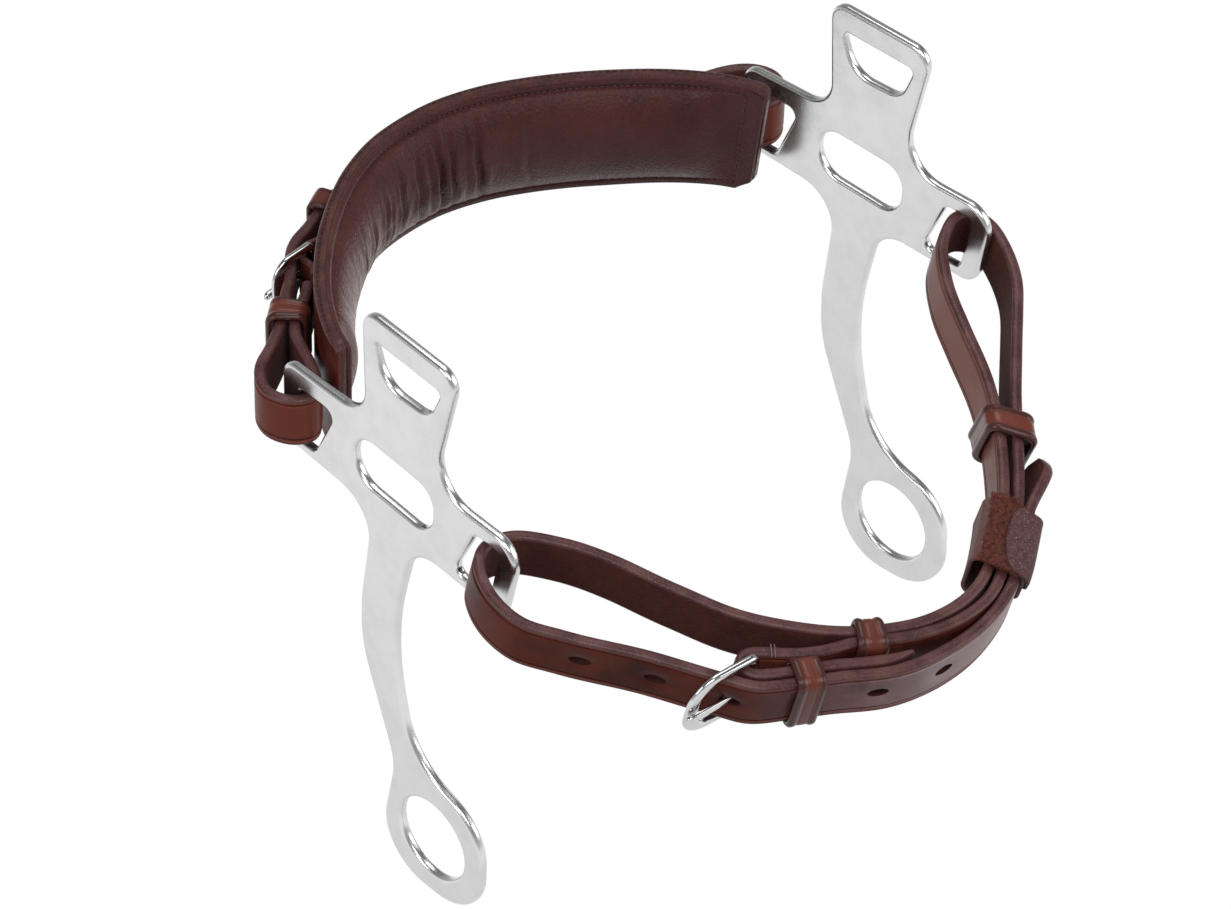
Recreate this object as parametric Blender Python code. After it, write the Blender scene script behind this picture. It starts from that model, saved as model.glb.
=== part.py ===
# A bitless hackamore: two polished steel cheek levers, joined in front by a padded
# leather noseband and behind by one long curb strap that is buckled round both levers.
#
# The horse's nose points along -Y, its left side is +X and up is +Z.
# The origin is the middle of the padded face that rests on the nose.
# Lengths are in millimetres; each mesh is written in metres.

import copy
import math

import bmesh
import bpy
import numpy as np
from mathutils import Matrix, Vector

MM = 0.001
GAP = 0.3                      # air left between pieces that touch

# Cheek levers
PLATE_THICKNESS = 3.0
PLATE_EDGE_ROUND = 0.8
RING_HOLE_RADIUS = 13.0
LEVER_PIVOT = (-56.9, 119.5)   # middle of the front bar in the cheek drawing
REAR_BAR = (26.7, 114.5)       # middle of the rear bar in the cheek drawing
PIVOT_HALF_SPAN = 91.8         # from the middle of the horse to each front bar
PIVOT_Y = 41.2
LEFT_YAW = 3.5                 # the left cheek stands a little open to the rear
RIGHT_PITCH = 2.6              # the right cheek hangs a little further back

# Straps
STRAP_WIDTH = 16.0
STRAP_THICKNESS = 3.2
STRAP_EDGE_ROUND = 0.9
CURB_TILT = 13.0               # the curb strap slopes down to the rear
CURB_DROP = 2.1                # its middle lies this far under the rear bars
FOLD_RADIUS = 3.35             # middle of the leather round a buckle bar
HOLE_PITCH = 20.0
HOLE_LENGTH = 6.0
HOLE_HEIGHT = 3.0

# Noseband
NOSE_HEIGHT = 40.0
BASE_THICKNESS = 3.2
PAD_CROWN = 7.7
PAD_RIM = 2.3
PAD_RIM_WIDTH = 4.6
CHAPE_THICKNESS = 1.5
BILLET_RAISE = 0.5             # the billets ride this far above the lever pivots

# Buckles
CURB_BUCKLE_LENGTH = 20.2      # middle of the heel bar to middle of the toe
NOSE_BUCKLE_LENGTH = 14.6
BUCKLE_HALF_WIDTH = 9.95
BUCKLE_BAR_RADIUS = 1.2
PRONG_WIDTH = 2.2
PRONG_THICKNESS = 1.0
PRONG_SLOT = 3.0

# Keepers and wrap
KEEPER_THICKNESS = 1.4
KEEPER_CLEARANCE = 0.4
WRAP_THICKNESS = 1.6
WRAP_LENGTH = 23.0
FLAP_THICKNESS = 1.4

# The cheek lever as drawn flat: (rearward, upward, corner radius), ring centre at 0, 0
CHEEK_OUTLINE = [
    (-28.2, 172.8, 5.5), (8.8, 170.8, 6.0), (-1.2, 129.0, 11.0), (32.9, 128.2, 8.0),
    (27.2, 101.2, 6.0), (-8.1, 102.9, 11.0), (-17.3, 64.0, 95.0), (-8.9, 24.8, 24.0),
    (20.1, 16.1, 17.0), (20.1, -20.4, 20.0), (-22.9, -20.4, 19.0), (-15.8, 18.2, 21.0),
    (-29.4, 54.8, 70.0), (-29.3, 71.0, 55.0), (-24.5, 105.6, 12.0), (-60.2, 108.3, 5.0),
    (-60.2, 135.8, 5.0), (-27.1, 135.8, 9.0)]
HEAD_SLOT = [(-23.6, 164.3, 1.5), (2.4, 162.9, 1.5), (-2.0, 151.9, 6.5), (-19.5, 151.9, 9.0)]
MIDDLE_SLOT = [(-31.2, 129.0, 8.0), (-0.2, 126.8, 6.5), (-0.9, 111.0, 7.0), (-31.3, 113.2, 8.0)]
FRONT_SLOT = [(-39.4, 128.9, 2.5), (-47.5, 110.8, 2.0), (-53.5, 110.9, 1.5), (-53.5, 129.0, 1.5)]
REAR_SLOT = [(15.8, 123.3, 2.5), (7.5, 105.4, 2.5), (21.5, 105.4, 1.5), (25.0, 123.1, 1.5)]

# The curb strap's runs in its own plane: (to the horse's left, rearward), between the bars
INNER_RUN = [
    (-93.4, -8.8), (-83.4, -4.8), (-73.4, 5.6), (-65.2, 19.6), (-54.6, 38.2), (-40.5, 55.2),
    (-27.6, 66.9), (-8.0, 79.0), (5.0, 82.6), (20.0, 80.4), (35.9, 71.9), (49.2, 59.4),
    (58.0, 47.2), (64.6, 32.0), (70.4, 16.0), (77.0, 3.4), (86.0, -6.6), (93.6, -8.8)]
OUTER_RUN = [
    (99.0, -6.6), (102.8, -1.2), (104.8, 6.0), (104.2, 14.8), (98.4, 24.6), (85.4, 43.2),
    (75.0, 60.5), (70.3, 67.2), (61.0, 73.0), (50.9, 78.7), (37.1, 86.9), (25.0, 90.9),
    (7.0, 91.2), (-9.6, 87.0), (-22.0, 79.6), (-33.5, 71.9), (-40.1, 68.0), (-47.0, 63.8)]
MIDDLE_RUN = [
    (54.4, 65.2), (48.2, 69.4), (38.9, 73.9), (28.1, 80.6), (14.0, 86.2), (1.0, 86.8),
    (-10.4, 82.5), (-30.9, 69.6), (-46.1, 56.0), (-60.2, 43.0), (-80.6, 25.8),
    (-90.6, 16.4), (-96.8, 6.4), (-99.2, -1.2), (-98.0, -6.4)]
CURB_HEEL = (65.8, 61.4)
CURB_TOE = (85.8, 58.8)

# Plan of the noseband's outer surface, one half: (sideways, rearward)
NOSE_PLAN = [
    (0.0, -11.2), (13.0, -10.1), (27.0, -5.7), (38.5, 0.3), (50.0, 8.0), (58.5, 14.9),
    (68.0, 24.2), (76.0, 34.4), (81.4, 43.6), (83.6, 50.2)]
# Plan of the billet from its sewn end, through the lever and back to the buckle, with the
# share of the extra reach that the right side's looser loop takes at each point
BILLET_PLAN = [
    (58.6, 12.5, 0.0), (63.6, 16.2, 0.0), (71.0, 20.4, 0.0), (76.6, 26.0, 0.0),
    (79.8, 32.2, 0.0), (82.8, 38.6, 0.0), (86.2, 43.8, 0.0), (91.4, 47.3, 0.1),
    (95.4, 45.6, 0.6), (97.7, 42.0, 0.9), (98.3, 38.0, 1.0), (97.0, 34.0, 1.0),
    (94.4, 30.7, 0.9), (90.8, 28.0, 0.6), (86.0, 25.7, 0.2), (79.9, 22.2, 0.0),
    (73.2, 17.5, 0.0), (66.9, 12.2, 0.0), (60.6, 7.4, 0.0)]
RIGHT_LOOP_REACH = 3.2
NOSE_HEEL_STATION = 0.735      # where the heel bar sits along the noseband, 0 to 1
NOSE_BUCKLE_HEADING = 3.0      # degrees from the horse's left, in plan
NOSE_HEEL_HEIGHT = 2.75        # middle of the heel bar above the noseband
KEEPER_SPOT = (71.0, 20.4)     # the loose keeper's middle on the billet's inner layer
TIP_HEIGHT = 4.8               # middle of the billet's tip above the noseband
PAD_CREASES = [                # (place along the pad, depth, half width, slant)
    (0.245, 0.45, 2.6, -0.03), (0.305, 0.35, 2.4, 0.02), (0.585, 0.40, 2.4, 0.03),
    (0.640, 0.75, 2.2, 0.08), (0.672, 0.95, 1.9, 0.10), (0.700, 0.85, 1.8, 0.12),
    (0.732, 0.70, 1.9, 0.12), (0.768, 0.60, 2.1, 0.10)]


# Scene basics

def clear_scene():
    for item in list(bpy.data.objects):
        bpy.data.objects.remove(item, do_unlink=True)


def make_material(name, colour, roughness, metallic):
    material = bpy.data.materials.new(name)
    material.use_nodes = True
    shader = material.node_tree.nodes["Principled BSDF"]
    shader.inputs["Base Color"].default_value = (*colour, 1.0)
    shader.inputs["Roughness"].default_value = roughness
    shader.inputs["Metallic"].default_value = metallic
    material.diffuse_color = (*colour, 1.0)
    return material


def signed_volume(points, faces):
    # Sum of the tetrahedra between the origin and each face's triangle fan
    total = 0.0
    for face in faces:
        first = points[face[0]]
        for second, third in zip(face[1:-1], face[2:]):
            total += float(np.dot(first, np.cross(points[second], points[third])))
    return total


def add_solid(name, points, faces, material, origin=(0.0, 0.0, 0.0), sharp=38.0):
    # Writes points in millimetres as an object whose own origin sits at `origin`
    points = np.asarray(points, dtype=float)
    if signed_volume(points - points.mean(axis=0), faces) < 0.0:
        faces = [tuple(reversed(face)) for face in faces]
    local = (points - np.asarray(origin)) * MM
    mesh = bpy.data.meshes.new(name)
    mesh.from_pydata([tuple(point) for point in local], [], faces)
    mesh.materials.append(material)
    mesh.shade_smooth()
    mesh.set_sharp_from_angle(angle=math.radians(sharp))
    item = bpy.data.objects.new(name, mesh)
    item.location = np.asarray(origin) * MM
    bpy.context.collection.objects.link(item)
    return item


def skin(sections, closed=False):
    # Joins equal rings of points with quads, with a flat cap at each open end
    sections = np.asarray(sections, dtype=float)
    count, size, _ = sections.shape
    faces = []
    for row in range(count if closed else count - 1):
        following = (row + 1) % count
        for column in range(size):
            beside = (column + 1) % size
            faces.append((row * size + column, row * size + beside,
                          following * size + beside, following * size + column))
    if not closed:
        faces.append(tuple(range(size - 1, -1, -1)))
        faces.append(tuple((count - 1) * size + column for column in range(size)))
    return sections.reshape(-1, 3), faces


# Plane outlines

def fillet_polygon(corners, step_angle=15.0):
    # Replaces each corner by an arc that touches both sides
    points = []
    count = len(corners)
    for index in range(count):
        here = np.array(corners[index][:2])
        radius = corners[index][2]
        back = np.array(corners[index - 1][:2]) - here
        ahead = np.array(corners[(index + 1) % count][:2]) - here
        back_length = np.linalg.norm(back)
        ahead_length = np.linalg.norm(ahead)
        back = back / back_length
        ahead = ahead / ahead_length
        half = 0.5 * math.acos(float(np.clip(np.dot(back, ahead), -1.0, 1.0)))
        reach = radius / math.tan(half)
        reach = min(reach, 0.499 * back_length, 0.499 * ahead_length)
        radius = reach * math.tan(half)
        middle = here + (back + ahead) / np.linalg.norm(back + ahead) * radius / math.sin(half)
        start = here + back * reach - middle
        finish = here + ahead * reach - middle
        first = math.atan2(start[1], start[0])
        turn = math.atan2(finish[1], finish[0]) - first
        turn = (turn + math.pi) % (2.0 * math.pi) - math.pi
        steps = max(1, round(abs(math.degrees(turn)) / step_angle))
        for step in range(steps + 1):
            angle = first + turn * step / steps
            points.append((middle[0] + radius * math.cos(angle),
                           middle[1] + radius * math.sin(angle)))
    return points


def circle(radius, steps):
    turns = [2.0 * math.pi * step / steps for step in range(steps)]
    return [(radius * math.cos(turn), radius * math.sin(turn)) for turn in turns]


# Smooth routes

def smooth_route(points, spacing=0.25):
    # Centripetal Catmull-Rom curve through the points, read at close steps
    points = np.asarray(points, dtype=float)
    before = 2.0 * points[0] - points[1]
    after = 2.0 * points[-1] - points[-2]
    points = np.vstack([before, points, after])
    pieces = []
    for index in range(1, len(points) - 2):
        p0, p1, p2, p3 = points[index - 1:index + 3]
        t1 = math.sqrt(np.linalg.norm(p1 - p0))
        t2 = t1 + math.sqrt(np.linalg.norm(p2 - p1))
        t3 = t2 + math.sqrt(np.linalg.norm(p3 - p2))
        steps = max(2, int(np.linalg.norm(p2 - p1) / spacing))
        t = np.linspace(t1, t2, steps, endpoint=False)[:, None]
        a1 = (t1 - t) / t1 * p0 + t / t1 * p1
        a2 = (t2 - t) / (t2 - t1) * p1 + (t - t1) / (t2 - t1) * p2
        a3 = (t3 - t) / (t3 - t2) * p2 + (t - t2) / (t3 - t2) * p3
        b1 = (t2 - t) / t2 * a1 + t / t2 * a2
        b2 = (t3 - t) / (t3 - t1) * a2 + (t - t1) / (t3 - t1) * a3
        pieces.append((t2 - t) / (t2 - t1) * b1 + (t - t1) / (t2 - t1) * b2)
    pieces.append(points[-2][None, :])
    return np.vstack(pieces)


class Route:
    # A smooth line in a plane. `along` runs with it, `out` points to its left and
    # `across` is the plane's normal, the way a strap's width goes.

    def __init__(self, points, plane, side=1.0):
        self.line = smooth_route(points)
        self.origin, self.right, self.back, self.across = plane
        self.side = side
        steps = np.linalg.norm(np.diff(self.line, axis=0), axis=1)
        self.marks = np.concatenate([[0.0], np.cumsum(steps)])
        self.length = self.marks[-1]

    def flat(self, mark):
        return np.array([np.interp(mark, self.marks, self.line[:, axis]) for axis in (0, 1)])

    def along(self, mark):
        low = self.flat(max(0.0, mark - 0.6))
        high = self.flat(min(self.length, mark + 0.6))
        return (high - low) / np.linalg.norm(high - low)

    def out(self, mark):
        along = self.along(mark)
        return np.array([-along[1], along[0]])

    def offset(self, mark, distance):
        return self.flat(mark) + distance * self.out(mark)

    def nearest(self, spot, low=0.0, high=None):
        high = self.length if high is None else high
        inside = (self.marks >= low) & (self.marks <= high)
        distance = np.linalg.norm(self.line - np.asarray(spot), axis=1)
        return float(self.marks[np.argmin(np.where(inside, distance, 1e9))])

    def lift(self, spot, width=0.0):
        # From the plane to the world; side -1 mirrors the piece to the horse's right
        world = self.origin + spot[0] * self.right + spot[1] * self.back + width * self.across
        return np.array([world[0] * self.side, world[1], world[2]])

    def place(self, mark, out=0.0, width=0.0):
        # Past either end the line goes on straight
        inside = min(max(mark, 0.0), self.length)
        spot = self.offset(inside, out) + (mark - inside) * self.along(inside)
        return self.lift(spot, width)

    def distance_to(self, other, mark, sense=1.0):
        # How far the other route lies to this one's left, or right with sense -1
        gaps = other.line - self.flat(mark)
        along = gaps @ self.along(mark)
        out = sense * (gaps @ self.out(mark))
        near = np.where(out > 0.5, np.abs(along) + 0.05 * out, 1e9)
        return float(out[np.argmin(near)])

    def moved(self, plane, side):
        # The same line in another plane or on the horse's other side
        twin = copy.copy(self)
        twin.origin, twin.right, twin.back, twin.across = plane
        twin.side = side
        return twin

    def stations(self, low=0.0, high=None, turn=11.0, step=16.0):
        # Marks close together where the line bends and far apart where it is straight
        high = self.length if high is None else high
        marks = [low]
        heading = self.along(low)
        mark = low
        while mark < high - 0.8:
            mark += 0.5
            now = self.along(mark)
            angle = math.degrees(math.acos(float(np.clip(np.dot(now, heading), -1.0, 1.0))))
            if angle >= turn or mark - marks[-1] >= step:
                marks.append(mark)
                heading = now
        if high - marks[-1] < 1.2 and len(marks) > 1:
            marks.pop()
        marks.append(high)
        return marks


# Leather straps

def strap_section(half_width, half_thickness):
    # Eight corners of a strap's cut edge, as (out, across)
    cut = min(STRAP_EDGE_ROUND, 0.6 * half_thickness, 0.6 * half_width)
    return [(-half_thickness, -half_width + cut), (-half_thickness, half_width - cut),
            (-half_thickness + cut, half_width), (half_thickness - cut, half_width),
            (half_thickness, half_width - cut), (half_thickness, -half_width + cut),
            (half_thickness - cut, -half_width), (-half_thickness + cut, -half_width)]


def strap_solid(route, marks, thickness, tip_at=None, tip_length=11.0):
    # A strap along the route; its tip narrows to a rounded point at the mark `tip_at`
    if tip_at is not None:
        marks = [mark for mark in marks if mark < tip_at - tip_length - 1.0]
        marks += [tip_at - tip_length * share for share in (1.0, 0.7, 0.45, 0.25, 0.1, 0.02)]
    sections = []
    for mark in marks:
        half_width = 0.5 * STRAP_WIDTH
        if tip_at is not None:
            nearness = min(1.0, max(0.0, 1.0 - (tip_at - mark) / tip_length))
            half_width *= math.sqrt(max(0.02, 1.0 - nearness ** 1.7))
        ring = strap_section(half_width, 0.5 * thickness)
        sections.append([route.place(mark, out, width) for out, width in ring])
    return skin(sections)


def oval_cutter(name, route, mark, depth, length=HOLE_LENGTH, height=HOLE_HEIGHT):
    # An oval peg standing across one layer of strap
    steps = 12
    sections = []
    for out in (-depth, depth):
        ring = []
        for step in range(steps):
            turn = 2.0 * math.pi * step / steps
            shift = 0.5 * length * math.cos(turn)
            spot = route.offset(mark, out) + shift * route.along(mark)
            ring.append(route.lift(spot, 0.5 * height * math.sin(turn)))
        sections.append(ring)
    return make_cutter(name, *skin(sections))


def prism_cutter(name, route, outline, low, high):
    # A peg with a drawn outline in the route's plane, from one width to another
    sections = [[route.lift(spot, width) for spot in outline] for width in (low, high)]
    return make_cutter(name, *skin(sections))


def make_cutter(name, points, faces):
    item = add_solid(name, points, faces, MATERIALS["cutter"])
    item.display_type = "WIRE"
    item.hide_render = True
    return item


def cut(item, cutters):
    for cutter in cutters:
        change = item.modifiers.new(cutter.name, "BOOLEAN")
        change.operation = "DIFFERENCE"
        change.solver = "EXACT"
        change.object = cutter


def keeper_loop(low, high, half_width, radius, steps=3):
    # Middle line of a closed keeper as (out, across), with rounded corners
    corners = [(low, -half_width, radius), (high, -half_width, radius),
               (high, half_width, radius), (low, half_width, radius)]
    return fillet_polygon(corners, step_angle=90.0 / steps)


def loop_normals(loop, closed=True):
    loop = np.asarray(loop, dtype=float)
    if closed:
        ahead = np.roll(loop, -1, axis=0) - loop
        behind = loop - np.roll(loop, 1, axis=0)
    else:
        ahead = np.vstack([loop[1:] - loop[:-1], loop[-1:] - loop[-2:-1]])
        behind = np.vstack([loop[1:2] - loop[0:1], loop[1:] - loop[:-1]])
    ahead = ahead / np.maximum(np.linalg.norm(ahead, axis=1, keepdims=True), 1e-9)
    behind = behind / np.maximum(np.linalg.norm(behind, axis=1, keepdims=True), 1e-9)
    mean = ahead + behind
    stretch = 2.0 / np.maximum(np.linalg.norm(mean, axis=1), 1e-9)
    mean = mean / np.linalg.norm(mean, axis=1, keepdims=True)
    return np.stack([mean[:, 1], -mean[:, 0]], axis=1), np.minimum(stretch, 1.5)


def band_solid(route, middle, loop, length, thickness, skew=(0.0, 0.0), closed=True, ends=None):
    # A band of leather swept round the loop; `skew` leans it along the strap with
    # the height and with the distance out, `ends` scales its length along the loop
    normals, stretch = loop_normals(loop, closed)
    cut_edge = 0.35 * thickness
    half = 0.5 * length
    ring = [(-half, -0.5 + 0.35), (-half + cut_edge, -0.5), (half - cut_edge, -0.5),
            (half, -0.5 + 0.35), (half, 0.5 - 0.35), (half - cut_edge, 0.5),
            (-half + cut_edge, 0.5), (-half, 0.5 - 0.35)]
    sections = []
    for index, (out, width) in enumerate(loop):
        size = 1.0 if ends is None else ends[index]
        lean = skew[0] * width + skew[1] * out
        section = []
        for shift, rise in ring:
            push = rise * thickness * stretch[index]
            section.append(route.place(middle + lean + shift * size,
                                       out + push * normals[index][0],
                                       width + push * normals[index][1]))
        sections.append(section)
    return skin(sections, closed)


# Buckles

def tube(path, radius, frame, steps=8):
    # A closed bent bar. `frame` turns (along, across, out) into world points
    path = np.asarray(path, dtype=float)
    normals, _ = loop_normals(path)
    sections = []
    for spot, normal in zip(path, normals):
        ring = []
        for step in range(steps):
            turn = 2.0 * math.pi * (step + 0.5) / steps
            side = radius * math.cos(turn)
            ring.append(frame(spot[0] + side * normal[0], spot[1] + side * normal[1],
                              radius * math.sin(turn)))
        sections.append(ring)
    return skin(sections, closed=True)


def buckle_frame(length):
    # Straight heel bar at 0, bowed toe at `length`
    half = BUCKLE_HALF_WIDTH
    bow = 0.38 * length
    corners = [(0.0, -half, 2.0), (length, -half, bow), (length, half, bow), (0.0, half, 2.0)]
    return fillet_polygon(corners, step_angle=18.0)


def prong_solid(length, frame):
    # A flat tongue curled round the heel bar, tapering to a tip that rests on the toe
    radius = BUCKLE_BAR_RADIUS + GAP + 0.5 * PRONG_THICKNESS
    path = []
    for step in range(11):
        turn = math.radians(-25.0 - 245.0 * step / 10.0)
        path.append((radius * math.cos(turn), radius * math.sin(turn)))
    for share in (0.3, 0.6, 0.85, 1.0):
        path.append((share * (length + 0.6), radius))
    path.append((length + 2.2, radius - 0.25))
    path = np.array(path)
    normals, _ = loop_normals(path, closed=False)
    sections = []
    for index, (spot, normal) in enumerate(zip(path, normals)):
        reach = max(0.0, spot[0]) / (length + 2.2) if index > 10 else 0.0
        half_width = 0.5 * PRONG_WIDTH * (1.0 - 0.35 * reach)
        half_thick = 0.5 * PRONG_THICKNESS * (1.0 - 0.2 * reach)
        ring = []
        for across, rise in ((-1.0, -0.5), (-0.6, -1.0), (0.6, -1.0), (1.0, -0.5),
                             (1.0, 0.5), (0.6, 1.0), (-0.6, 1.0), (-1.0, 0.5)):
            ring.append(frame(spot[0] + rise * half_thick * normal[0], across * half_width,
                              spot[1] + rise * half_thick * normal[1]))
        sections.append(ring)
    return skin(sections)


def buckle_pose(route, heel, toe, outward):
    # World placing for buckle parts: along heel to toe, across, and out of the strap
    heel = np.asarray(heel, dtype=float)
    ahead = np.asarray(toe, dtype=float) - heel
    ahead = ahead / np.linalg.norm(ahead)
    out = np.array([-ahead[1], ahead[0]])
    if np.dot(out, outward) < 0.0:
        out = -out

    def frame(along, across, rise):
        return route.lift(heel + along * ahead + rise * out, across)

    return frame, ahead, out


def add_buckle(prefix, route, heel, toe, outward, length):
    frame, ahead, out = buckle_pose(route, heel, toe, outward)
    origin = route.lift(np.asarray(heel, dtype=float))
    points, faces = tube(buckle_frame(length), BUCKLE_BAR_RADIUS, frame)
    add_solid(prefix + "_buckle_frame", points, faces, MATERIALS["buckle"], origin)
    points, faces = prong_solid(length, frame)
    add_solid(prefix + "_prong", points, faces, MATERIALS["buckle"], origin)
    return ahead, out


# Cheek levers

def cheek_mesh(name):
    # The flat lever with its ring and four slots, edges eased by a bevel
    bm = bmesh.new()
    rims = []
    loops = [fillet_polygon(CHEEK_OUTLINE, 14.0), circle(RING_HOLE_RADIUS, 32)]
    for slot in (HEAD_SLOT, MIDDLE_SLOT, FRONT_SLOT, REAR_SLOT):
        loops.append(fillet_polygon(slot, 22.0))
    for loop in loops:
        corners = [bm.verts.new((-0.5 * PLATE_THICKNESS * MM, (back - LEVER_PIVOT[0]) * MM,
                                 (up - LEVER_PIVOT[1]) * MM)) for back, up in loop]
        for first, second in zip(corners, corners[1:] + corners[:1]):
            rims.append(bm.edges.new((first, second)))
    bmesh.ops.triangle_fill(bm, use_beauty=True, use_dissolve=False, edges=rims)
    lifted = bmesh.ops.extrude_face_region(bm, geom=list(bm.faces), use_keep_orig=True)
    moved = [item for item in lifted["geom"] if isinstance(item, bmesh.types.BMVert)]
    bmesh.ops.translate(bm, verts=moved, vec=(PLATE_THICKNESS * MM, 0.0, 0.0))
    bmesh.ops.recalc_face_normals(bm, faces=list(bm.faces))
    mesh = bpy.data.meshes.new(name)
    bm.to_mesh(mesh)
    bm.free()
    mesh.materials.append(MATERIALS["steel"])
    mesh.shade_smooth()
    mesh.set_sharp_from_angle(angle=math.radians(50.0))
    return mesh


def add_cheek(name, side, turn):
    item = bpy.data.objects.new(name, cheek_mesh(name))
    item.matrix_world = Matrix.Translation((side * PIVOT_HALF_SPAN * MM, PIVOT_Y * MM, 0.0)) @ turn
    ease = item.modifiers.new("eased edges", "BEVEL")
    ease.width = PLATE_EDGE_ROUND * MM
    ease.segments = 2
    ease.limit_method = "ANGLE"
    ease.angle_limit = math.radians(60.0)
    bpy.context.collection.objects.link(item)
    arm = Vector((0.0, (REAR_BAR[0] - LEVER_PIVOT[0]) * MM, (REAR_BAR[1] - LEVER_PIVOT[1]) * MM))
    return np.array(item.matrix_world @ arm) / MM


# Noseband

def nose_route():
    left = NOSE_PLAN
    right = [(-across, back) for across, back in reversed(NOSE_PLAN[1:])]
    return Route(right + left, LEVEL_PLANE)


def add_noseband(route):
    # Outer leather: square ends with the lower corner cut off
    marks = route.stations(turn=5.0, step=9.0)
    sections = []
    for mark in marks:
        from_end = min(mark, route.length - mark)
        top = 0.5 * NOSE_HEIGHT - 0.5 - 1.2 * max(0.0, 1.0 - from_end / 3.0)
        bottom = -0.5 * NOSE_HEIGHT + 0.5 + 6.0 * max(0.0, 1.0 - from_end / 7.0)
        ring = [(0.0, bottom + 0.8), (0.0, top - 0.8), (0.8, top), (BASE_THICKNESS - 0.8, top),
                (BASE_THICKNESS, top - 0.8), (BASE_THICKNESS, bottom + 0.8),
                (BASE_THICKNESS - 0.8, bottom), (0.8, bottom)]
        sections.append([route.place(mark, out, width) for out, width in ring])
    points, faces = skin(sections)
    add_solid("noseband_base", points, faces, MATERIALS["brown"])


def pad_depth(share, width, mark, length):
    # Rim, then a steep drawn-in side, then a flat crown; creases cross the crown
    inner = 0.5 * NOSE_HEIGHT - 0.8 - PAD_RIM_WIDTH
    if abs(width) >= inner:
        return PAD_RIM
    crown = (1.0 - (abs(width) / inner) ** 2.6) ** 0.55
    ends = min(1.0, max(0.0, min(share, 1.0 - share) * length - 5.0) / 17.0)
    ends = ends * ends * (3.0 - 2.0 * ends)
    depth = (PAD_CROWN - PAD_RIM) * crown * ends
    for place, drop, half, slant in PAD_CREASES:
        away = (mark - place * length - slant * width * 4.0) / half
        depth -= drop * crown * ends * math.exp(-away * away)
    return PAD_RIM + depth


def add_pad(route):
    low = 4.5
    high = route.length - 4.5
    length = high - low
    marks = set(round(low + length * step / 40.0, 2) for step in range(41))
    for place, _, half, _ in PAD_CREASES:
        for shift in (-1.0, 0.0, 1.0):
            marks.add(round(low + place * length + shift * half * 0.9, 2))
    marks = sorted(marks)
    marks = [mark for index, mark in enumerate(marks) if index == 0 or mark - marks[index - 1] > 0.7]
    edge = 0.5 * NOSE_HEIGHT - 0.8
    inner = edge - PAD_RIM_WIDTH
    widths = [edge - 0.5, inner + 0.2, inner - 0.6, inner - 3.6, 0.45 * inner, 0.0]
    widths += [-width for width in reversed(widths[:-1])]
    start = BASE_THICKNESS + GAP
    sections = []
    for mark in marks:
        share = (mark - low) / length
        taper = max(0.0, 1.0 - min(mark - low, high - mark) / 6.0)
        squeeze = 1.0 - 0.14 * taper * taper
        ring = [(start, edge * squeeze), (start, -edge * squeeze),
                (start + 0.6 * PAD_RIM, -edge * squeeze)]
        for width in reversed(widths):
            depth = pad_depth(share, width, mark - low, length)
            ring.append((start + depth, width * squeeze))
        ring.append((start + 0.6 * PAD_RIM, edge * squeeze))
        sections.append([route.place(mark, out, width) for out, width in ring])
    points, faces = skin(sections)
    add_solid("noseband_pad", points, faces, MATERIALS["pad"], sharp=60.0)


def billet_points(route, heel_mark, reach):
    # Down from the lever in plan, then along the noseband over buckle and chape
    points = [(across + reach * share, back) for across, back, share in BILLET_PLAN]
    for behind, height in ((-1.5, 8.2), (4.0, 7.8), (10.5, 6.0), (20.0, TIP_HEIGHT),
                           (32.5, TIP_HEIGHT)):
        points.append(tuple(route.offset(heel_mark - behind, -height)))
    return points


def chape_points(route, heel_mark):
    # The strip that holds the heel bar down: flat, over the bar, flat again
    rise = NOSE_HEEL_HEIGHT + BUCKLE_BAR_RADIUS
    points = []
    for shift in (-31.0, -27.0, -23.0, -19.0, -15.0, -11.0, -8.0, -5.4, -2.6, 0.0, 2.6, 5.2, 7.0, 9.4):
        hump = 0.5 * (1.0 + math.cos(math.pi * min(1.0, max(0.0, (abs(shift) - 1.8) / 5.2))))
        height = 1.5 * GAP + 0.5 * CHAPE_THICKNESS + rise * hump
        points.append(tuple(route.offset(heel_mark + shift, -height)))
    return points


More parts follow.
